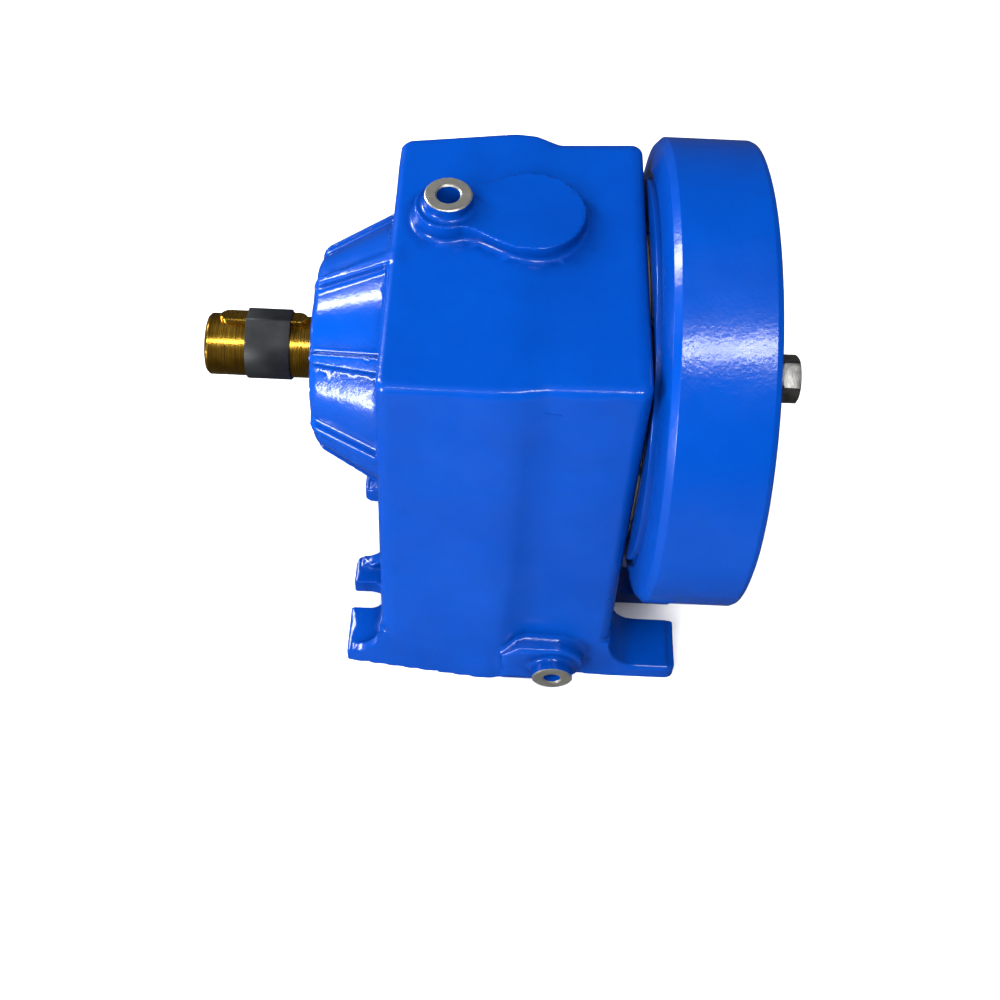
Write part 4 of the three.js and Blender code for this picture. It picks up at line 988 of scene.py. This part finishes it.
def settle_gears():
    pair = OUTPUT_PAIR
    gear = gear_body("output_gear_wheel", pair, pair["wheel"], pair["width"], OUTPUT_Z, 1)
    cutters = face_recesses(pair, OUTPUT_Z, 36, 54)
    cutters.append(rod("bore", -50, -5, 25.1, sides=96))
    cutters.append(block("keyway", -60, 0, -7.1, 7.1, 0, GEAR_KEY["high"] + 0.2))
    settle(smooth(boolean(gear, cutters)), "output_gear", "output_train", [STEEL[OUTPUT_Z]])
    settle_gear_key("output_gear_drive_key", "output_gear_key", GEAR_KEY, OUTPUT_Z, "output_train")

    pair = INPUT_PAIR
    axis_z = LAYSHAFT_Z
    wheel = gear_body("layshaft_gear_wheel", pair, pair["wheel"], pair["width"], axis_z, -1)
    cutters = face_recesses(pair, axis_z, 26, 53)
    cutters.append(rod("bore", 10, 45, 14.1, centre=(0, 0, axis_z)))
    cutters.append(block("keyway", 0, 50, -4.1, 4.1, axis_z, axis_z + LAYSHAFT_KEY["high"] + 0.2))
    for k in range(6):
        a = math.radians(30 + 60 * k)
        centre = (0, 39.5 * math.sin(a), axis_z + 39.5 * math.cos(a))
        cutters.append(rod("web_hole", 10, 45, 8.0, centre=centre, sides=40))
    settle(smooth(boolean(wheel, cutters)), "layshaft_gear", "layshaft_train", [STEEL[axis_z]])
    settle_gear_key("layshaft_gear_drive_key", "layshaft_gear_key", LAYSHAFT_KEY, axis_z, "layshaft_train")


settle_gears()


# ---------------------------------------------------------------- shafts

def make_output_shaft():
    r = 20.0
    rear_x = BEARINGS["output_rear"][4]
    profile = [
        (SHAFT_END_X + 14, 0), (SHAFT_END_X + 12, 2.2), (SHAFT_END_X + 5, 2.2), (SHAFT_END_X + 0.6, 6.6),
        (SHAFT_END_X, 7.2), (SHAFT_END_X, r - 1.8, 0.3), (SHAFT_END_X + 1.8, r, 0.4), (-114, r, 1.0),
        (-113, 22.5, 0.4), (rear_x - 4, 22.5, 0.8), (rear_x - 4, 27.5, 0.6), (-50.7, 27.5, 0.8),
        (-50.7, 32, 0.8), (-45, 32, 0.8), (-45, 25, 0.8), (-11.0, 25), (-10.4, 23.6), (-7.8, 23.6),
        (-7.2, 25), (-5.8, 25), (-5, 24.2), (-5, 0),
    ]
    shaft = lathe("output_shaft_turned", profile, 128)
    bottom = r - KEY["depth"]
    end_slot = key_body("slot", KEY["start"] - 0.15, KEY["end"] + 0.15, KEY["width"] + 0.2, bottom - 0.1,
                        r + 5, chamfer=0.0)
    turned_about_x(end_slot, -KEY["tilt"])
    gear_slot = key_body("slot", GEAR_KEY["start"] - 0.2, GEAR_KEY["end"] + 0.2, GEAR_KEY["width"] + 0.2,
                         GEAR_KEY["low"] - 0.1, 30, chamfer=0.0)
    boolean(shaft, [end_slot, gear_slot])
    settle(smooth(shaft, 28), "output_shaft", "output_train", [GOLD])
    top = bottom + KEY["height"]
    key = key_body("output_shaft_key", KEY["start"], KEY["end"], KEY["width"], bottom, top, chamfer=0.6)
    turned_about_x(key, -KEY["tilt"])
    settle(smooth(key), "output_key", "output_train", [GOLD])


def make_guard_band():
    """A thin sleeve pulled over the shaft, bulging where it runs over the key."""
    inner_r = 20.0 + 0.25
    key_top = 20.0 - KEY["depth"] + KEY["height"] + 0.3
    half = KEY["width"] / 2 + 0.3
    sides = 220
    angles = [2 * math.pi * k / sides for k in range(sides)]

    def inner(a):
        off = math.asin(math.sin(a))
        facing = math.cos(a) > 0
        edge = math.atan2(half, key_top)
        if facing and abs(off) < edge:
            return key_top / math.cos(off)
        if facing and abs(off) < 1.0:
            # straight run from the key's corner down to where it meets the shaft
            corner = np.array([half, key_top])
            reach = np.linalg.norm(corner)
            tangent = math.atan2(half, key_top) + math.acos(inner_r / reach)
            if abs(off) < tangent:
                meet = np.array([inner_r * math.sin(tangent), inner_r * math.cos(tangent)])
                along = meet - corner
                ray = np.array([math.sin(abs(off)), math.cos(abs(off))])
                share = np.linalg.solve(np.array([ray, -along]).T, corner)
                return share[0]
        return inner_r

    smoothed = np.array([inner(a) for a in angles])
    for _ in range(3):
        around = 0.25 * np.roll(smoothed, 1) + 0.5 * smoothed + 0.25 * np.roll(smoothed, -1)
        smoothed = np.maximum(smoothed, around)
    x0, x1, t = BAND["start"], BAND["end"], BAND["thick"]
    section = [(x0 + 0.3, 0), (x1 - 0.3, 0), (x1, 0.25), (x1, t - 0.35), (x1 - 0.35, t), (x0 + 0.35, t),
               (x0, t - 0.35), (x0, 0.25)]
    points, faces = [], []
    limit = key_top + t - 0.05
    for along, rise in section:
        for a, r in zip(angles, smoothed):
            reach = min(r + rise, limit / max(math.cos(a), 0.2) if math.cos(a) > 0.2 else 99)
            points.append((along, reach * math.sin(a), reach * math.cos(a)))
    for i in range(len(section)):
        j = (i + 1) % len(section)
        for k in range(sides):
            m = (k + 1) % sides
            faces.append([i * sides + k, i * sides + m, j * sides + m, j * sides + k])
    band = outward(mesh_object("shaft_guard_sleeve", points, faces))
    turned_about_x(band, -KEY["tilt"])
    settle(smooth(band, 50), "shaft_guard_band", "output_train", [PLASTIC])


def make_inner_shafts():
    front, rear = BEARINGS["layshaft_front"], BEARINGS["layshaft_rear"]
    seat = front[4] + front[3] + GAP
    centre = (0, 0, LAYSHAFT_Z)
    profile = [
        (front[4], 0), (front[4], 9.4), (front[4] + 0.6, 10), (seat, 10, 0.4), (seat, 16, 0.6),
        (-10, 16, 1.5),
        (-10, 20, 0.8), (14, 20, 0.8), (14, 14, 0.8), (38.8, 14), (39.2, 13.2), (41.2, 13.2), (41.6, 14),
        (rear[4] - 8, 14, 0.6), (rear[4] - 8, 12.5, 0.4),
        (rear[4] - GAP, 12.5, 0.5), (rear[4] - GAP, 10, 0.4),
        (rear[4] + rear[3] - 0.6, 10), (rear[4] + rear[3], 9.4), (rear[4] + rear[3], 0),
    ]
    shaft = lathe("layshaft_turned", profile, 72, centre=centre)
    pair = OUTPUT_PAIR
    pinion = gear_body("pinion", pair, pair["pinion"], pair["width"], LAYSHAFT_Z, -1, 0.5)
    boolean(shaft, [pinion], "UNION")
    key = LAYSHAFT_KEY
    boolean(shaft, [key_body("slot", key["start"] - 0.2, key["end"] + 0.2, key["width"] + 0.2,
                             key["low"] - 0.1, 20, LAYSHAFT_Z, chamfer=0.0)])
    settle(smooth(shaft), "layshaft", "layshaft_train", [STEEL[LAYSHAFT_Z]])

    inner = BEARINGS["input_inner"]
    centre = (0, 0, INPUT_Z)
    shoulder = inner[4] + inner[3] + GAP
    profile = [
        (16, 0), (16, 11.2), (16.8, 12), (inner[4] - 2, 12, 1.2), (inner[4] - 2, 17.5, 0.6),
        (shoulder, 17.5, 0.5), (shoulder, 27.5, 1.0), (149, 27.5, 0.3), (150, 26.5, 0.3),
        (150, 20.2), (148.8, 19), (77.5, 19), (76.5, 18), (76.5, 0),
    ]
    shaft = lathe("input_shaft_turned", profile, 96, centre=centre)
    pair = INPUT_PAIR
    pinion = gear_body("pinion", pair, pair["pinion"], pair["width"] + 4, INPUT_Z, 1)
    boolean(shaft, [pinion], "UNION")
    boolean(shaft, [block("keyway", 78, 151, -5, 5, INPUT_Z, INPUT_Z + 22.3)])
    settle(smooth(shaft), "input_shaft", "input_train", [STEEL[INPUT_Z]])


make_output_shaft()
make_guard_band()
make_inner_shafts()


# ---------------------------------------------------------------- bearings, seals and rings

def make_bearing(name, axis_z, bore_r, outer_r, width, start, balls):
    depth = outer_r - bore_r
    middle_r = 0.5 * (outer_r + bore_r)
    middle_x = start + 0.5 * width
    groove = 0.295 * depth
    ball_r = 0.28 * depth
    shaft_name = name.split("_")[0]
    centre = (0, 0, axis_z)

    def race(side):
        """Half section of one ring; side is 1 for the outer ring and -1 for the inner."""
        skin = outer_r - 0.02 if side > 0 else bore_r + 0.1
        land = middle_r + side * 0.2 * depth
        half_angle = math.acos(0.2 * depth / groove)
        arc = []
        for k in range(13):
            a = lerp(-half_angle, half_angle, k / 12)
            arc.append((middle_x + groove * math.sin(a), middle_r + side * groove * math.cos(a)))
        end = start + width
        return [(start, skin, 0.9), (start, land, 0.4), *arc, (end, land, 0.4), (end, skin, 0.9)]

    for label, side, body in (("outer_ring", 1, "casing"), ("inner_ring", -1, TRAIN_OF[shaft_name])):
        ring = lathe(f"{name}_{label}_race", race(side), 96, centre=centre)
        settle(smooth(ring, 40), f"{name}_bearing_{label}", body, [CHROME[axis_z]])
    cage_x, cage_r = 0.34 * width, 0.07 * depth
    corners = ((-cage_x, -cage_r), (-cage_x, cage_r), (cage_x, cage_r), (cage_x, -cage_r))
    cage = lathe("cage", [(middle_x + u, middle_r + v, 0.5) for u, v in corners], 96, centre=centre)
    spheres, pockets = [], []
    for k in range(balls):
        a = 2 * math.pi * k / balls
        spot = (middle_x, middle_r * math.cos(a), axis_z + middle_r * math.sin(a))
        spheres.append(ball(f"ball_{k}", ball_r, spot))
        pockets.append(ball(f"pocket_{k}", ball_r + 0.06 * depth / 2, spot))
    boolean(cage, pockets)
    row = join(f"{name}_ball_row", [cage, *spheres])
    body = BALLS_OF[shaft_name]
    settle(smooth(row, 40), f"{name}_bearing_balls", body, [CHROME[axis_z]])


def ball(name, radius, spot):
    turns = [math.pi * k / 12 for k in range(1, 12)]
    outline = [(-radius, 0)] + [(-radius * math.cos(a), radius * math.sin(a)) for a in turns] + [(radius, 0)]
    return lathe(name, outline, 24, centre=spot)


def circlip(name, x0, x1, inner_r, outer_r, axis_z, inside_bore):
    """Open spring ring with two eyes. inside_bore is for one that sits in a hole's groove."""
    gap_half = math.radians(11)
    steps = 56
    outer, inner = [], []
    for k in range(steps + 1):
        a = lerp(gap_half, 2 * math.pi - gap_half, k / steps)
        thin = 0.22 * (outer_r - inner_r) * (0.5 + 0.5 * math.cos(a))
        near_eye = min(a, 2 * math.pi - a) < gap_half + math.radians(15)
        big = outer_r if inside_bore or near_eye else outer_r - thin - 0.25 * (outer_r - inner_r)
        small = inner_r if not inside_bore or near_eye else inner_r + thin + 0.25 * (outer_r - inner_r)
        outer.append((big * math.sin(a), big * math.cos(a)))
        inner.append((small * math.sin(a), small * math.cos(a)))
    outline = outer + inner[::-1]
    points = [(x, y, axis_z + z) for x in (x0, x1) for y, z in outline]
    count = len(outline)
    faces = [[k, (k + 1) % count, count + (k + 1) % count, count + k] for k in range(count)]
    for base in (0, count):
        for k in range(steps):
            faces.append([base + k, base + k + 1, base + count - 2 - k, base + count - 1 - k])
    ring = outward(mesh_object(name, points, faces))
    eyes = []
    for side in (-1, 1):
        a = side * (gap_half + math.radians(6.5))
        r = 0.5 * (inner_r + outer_r)
        eyes.append(rod("eye", x0 - 1, x1 + 1, 0.26 * (outer_r - inner_r),
                        centre=(0, r * math.sin(a), axis_z + r * math.cos(a)), sides=20))
    boolean(ring, eyes)
    return smooth(bevel(ring, 0.15, 1, 50))


def shaft_seal(name, x0, x1, inner_r, outer_r, axis_z):
    """Radial seal: pressed case, flexible lip and a dust lip; the lip's garter spring is not drawn."""
    deep = x1 - x0
    profile = [
        (x0, inner_r + 4.2, 0.5), (x0, outer_r, 0.7), (x1, outer_r, 0.7), (x1, outer_r - 2.6, 0.4),
        (x0 + 0.28 * deep, outer_r - 2.6, 0.8), (x0 + 0.28 * deep, inner_r + 3.4, 0.8),
        (x1 - 0.3, inner_r + 2.9, 0.5), (x1 - 0.3, inner_r + 0.9, 0.3),
        (x0 + 0.6 * deep, inner_r + 0.05, 0.2), (x0 + 0.3 * deep, inner_r + 1.4, 0.4),
        (x0 + 0.1, inner_r + 0.2, 0.2),
    ]
    return smooth(lathe(name, profile, 96, centre=(0, 0, axis_z)), 40)


for bearing_name, sizes in BEARINGS.items():
    make_bearing(bearing_name, *sizes)

for shaft_name, sizes in SEALS.items():
    settle(shaft_seal(f"{shaft_name}_lip_seal", *sizes), f"{shaft_name}_oil_seal", "casing",
           [RUBBER])

for place, (*sizes, clip_body) in CLIPS.items():
    settle(circlip(f"{place}_clip", *sizes), f"{place}_circlip", clip_body, [DARK])

spacer_corners = [(-84.2, 22.8, 0.5), (-84.2, 26.5, 0.5), (-76.3, 26.5, 0.5), (-76.3, 22.8, 0.5)]
settle(smooth(lathe("output_shaft_collar", spacer_corners, 96)),
       "output_shaft_spacer", "output_train", [STEEL[OUTPUT_Z]])


# ---------------------------------------------------------------- bolts and screws

def hexagon(name, x0, x1, corner_r, centre, turn=0.0):
    turns = [math.radians(60 * k + turn) for k in range(6)]
    ring = [(corner_r * math.sin(a), corner_r * math.cos(a)) for a in turns]
    return loft(name, [[(x, centre[1] + y, centre[2] + z) for y, z in ring] for x in (x0, x1)])


def make_motor_bolt():
    low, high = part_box("motor_bolt")
    y = 0.5 * (low.y + high.y) / MM
    z = 0.5 * (low.z + high.z) / MM - SHAFT_HEIGHT
    end_x = high.x / MM - ORIGIN_X
    head_x = DRUM["rear"] + GAP
    corner = 13.75
    head = hexagon("motor_bolt_hex", head_x, end_x, corner, (0, y, z))
    shape = lathe("shape", [(head_x, 0), (head_x, corner - 1.7, 0.5), (head_x + 1.3, corner + 0.7),
                            (end_x - 1.3, corner + 0.7), (end_x, corner - 1.7, 0.5), (end_x, 0)], 128,
                  centre=(0, y, z))
    boolean(head, [shape], "INTERSECT")
    bevel(head, 0.22, 2, 22)
    shank = lathe("shank", [(DRUM["rear"] - 15, 0), (DRUM["rear"] - 15, 6.8), (DRUM["rear"] - 13.5, 7.95),
                            (head_x + 1.0, 7.95), (head_x + 1.0, 0)], 64, centre=(0, y, z))
    boolean(head, [shank], "UNION")
    settle(smooth(head, 25), "motor_bolt", "casing", [DARK])


def make_flange_screws():
    for i, (y, z) in enumerate(SCREWS, 1):
        start = DRUM["web"] + GAP
        tip, r, head_r, end = SCREW["tip"], SCREW["r"], SCREW["head_r"], start + SCREW["head"]
        profile = [(tip, 0), (tip, r - 0.8), (tip + 1, r), (start, r), (start, head_r, 0.2),
                   (end - 0.6, head_r, 0.3), (end, head_r - 0.6, 0.2), (end, 0)]
        screw = lathe(f"flange_cap_screw_{i}", profile, 40, centre=(0, y, z))
        socket = hexagon("socket", start + 3.6, start + 9, 3.45, (0, y, z), 11.0 * i)
        boolean(screw, [socket])
        settle(smooth(screw), f"flange_screw_{i}", "casing", [DARK])


make_motor_bolt()
make_flange_screws()


# ---------------------------------------------------------------- floor, light and camera

def plain_floor():
    n = Nodes("pale_floor", Roughness=0.9, Specular_IOR_Level=0.1)
    n.finish(n.mix(n.noise(3.0, 2.0), (0.86, 0.86, 0.86), (0.88, 0.88, 0.88)))
    mesh = bpy.data.meshes.new("floor")
    half = 6.0
    corners = [(-half, -half, 0), (half, -half, 0), (half, half, 0), (-half, half, 0)]
    mesh.from_pydata(corners, [], [(0, 1, 2, 3)])
    floor = bpy.data.objects.new("floor", mesh)
    floor.data.materials.append(n.material)
    bpy.context.scene.collection.objects.link(floor)
    floor.visible_glossy = False


def softbox(name, place, target, width, height, power):
    light = bpy.data.lights.new(name, "AREA")
    light.shape = "RECTANGLE"
    light.size = width
    light.size_y = height
    light.energy = power
    obj = bpy.data.objects.new(name, light)
    obj.location = place
    obj.rotation_euler = (Vector(target) - Vector(place)).to_track_quat("-Z", "Y").to_euler()
    bpy.context.scene.collection.objects.link(obj)
    return obj


def studio():
    world = bpy.data.worlds.new("studio")
    world.use_nodes = True
    world.node_tree.nodes["Background"].inputs["Color"].default_value = (0.95, 0.97, 1.0, 1)
    world.node_tree.nodes["Background"].inputs["Strength"].default_value = 0.06
    bpy.context.scene.world = world
    heart = (0.0, 0.0, 0.2)
    fill = softbox("overhead_fill", (0.2, -0.6, 3.0), heart, 3.0, 3.0, 95)
    fill.visible_glossy = False
    near = softbox("near_left_fill", (-0.75, -1.05, 0.95), heart, 0.8, 0.8, 26)
    near.visible_glossy = False
    softbox("shaft_strip", (-0.45, -0.74, 1.45), (-0.17, 0, 0.22), 0.3, 0.1, 4)
    softbox("key", (0.36, -0.72, 1.55), (0.1, 0, 0.25), 0.5, 0.2, 16)
    softbox("left_high", (-1.35, 0.7, 1.0), (-0.08, 0, 0.25), 0.25, 0.9, 40)
    softbox("left_low", (-1.3, -0.9, 0.3), (-0.08, 0, 0.22), 0.25, 0.5, 26)


def photo_camera():
    focal_px = 1375.66
    elevation = math.radians(51.05)
    roll = math.radians(2.53)
    distance = 0.89244
    centre_px = (494.75, 355.56)
    size_px = 1000.0
    data = bpy.data.cameras.new("camera")
    data.sensor_width = 36.0
    data.lens = 36.0 * focal_px / size_px
    data.shift_x = (0.5 * size_px - centre_px[0]) / size_px
    data.shift_y = (centre_px[1] - 0.5 * size_px) / size_px
    data.clip_start = 0.05
    camera = bpy.data.objects.new("camera", data)
    target = Vector(to_row((0, 0, 0)))
    camera.location = target + distance * Vector((0, -math.cos(elevation), math.sin(elevation)))
    look = (target - camera.location).to_track_quat("-Z", "Y").to_matrix()
    camera.rotation_euler = (look @ Matrix.Rotation(roll, 3, "Z")).to_euler()
    bpy.context.scene.collection.objects.link(camera)
    bpy.context.scene.camera = camera


plain_floor()
studio()
photo_camera()
bpy.context.scene.view_settings.view_transform = "Standard"
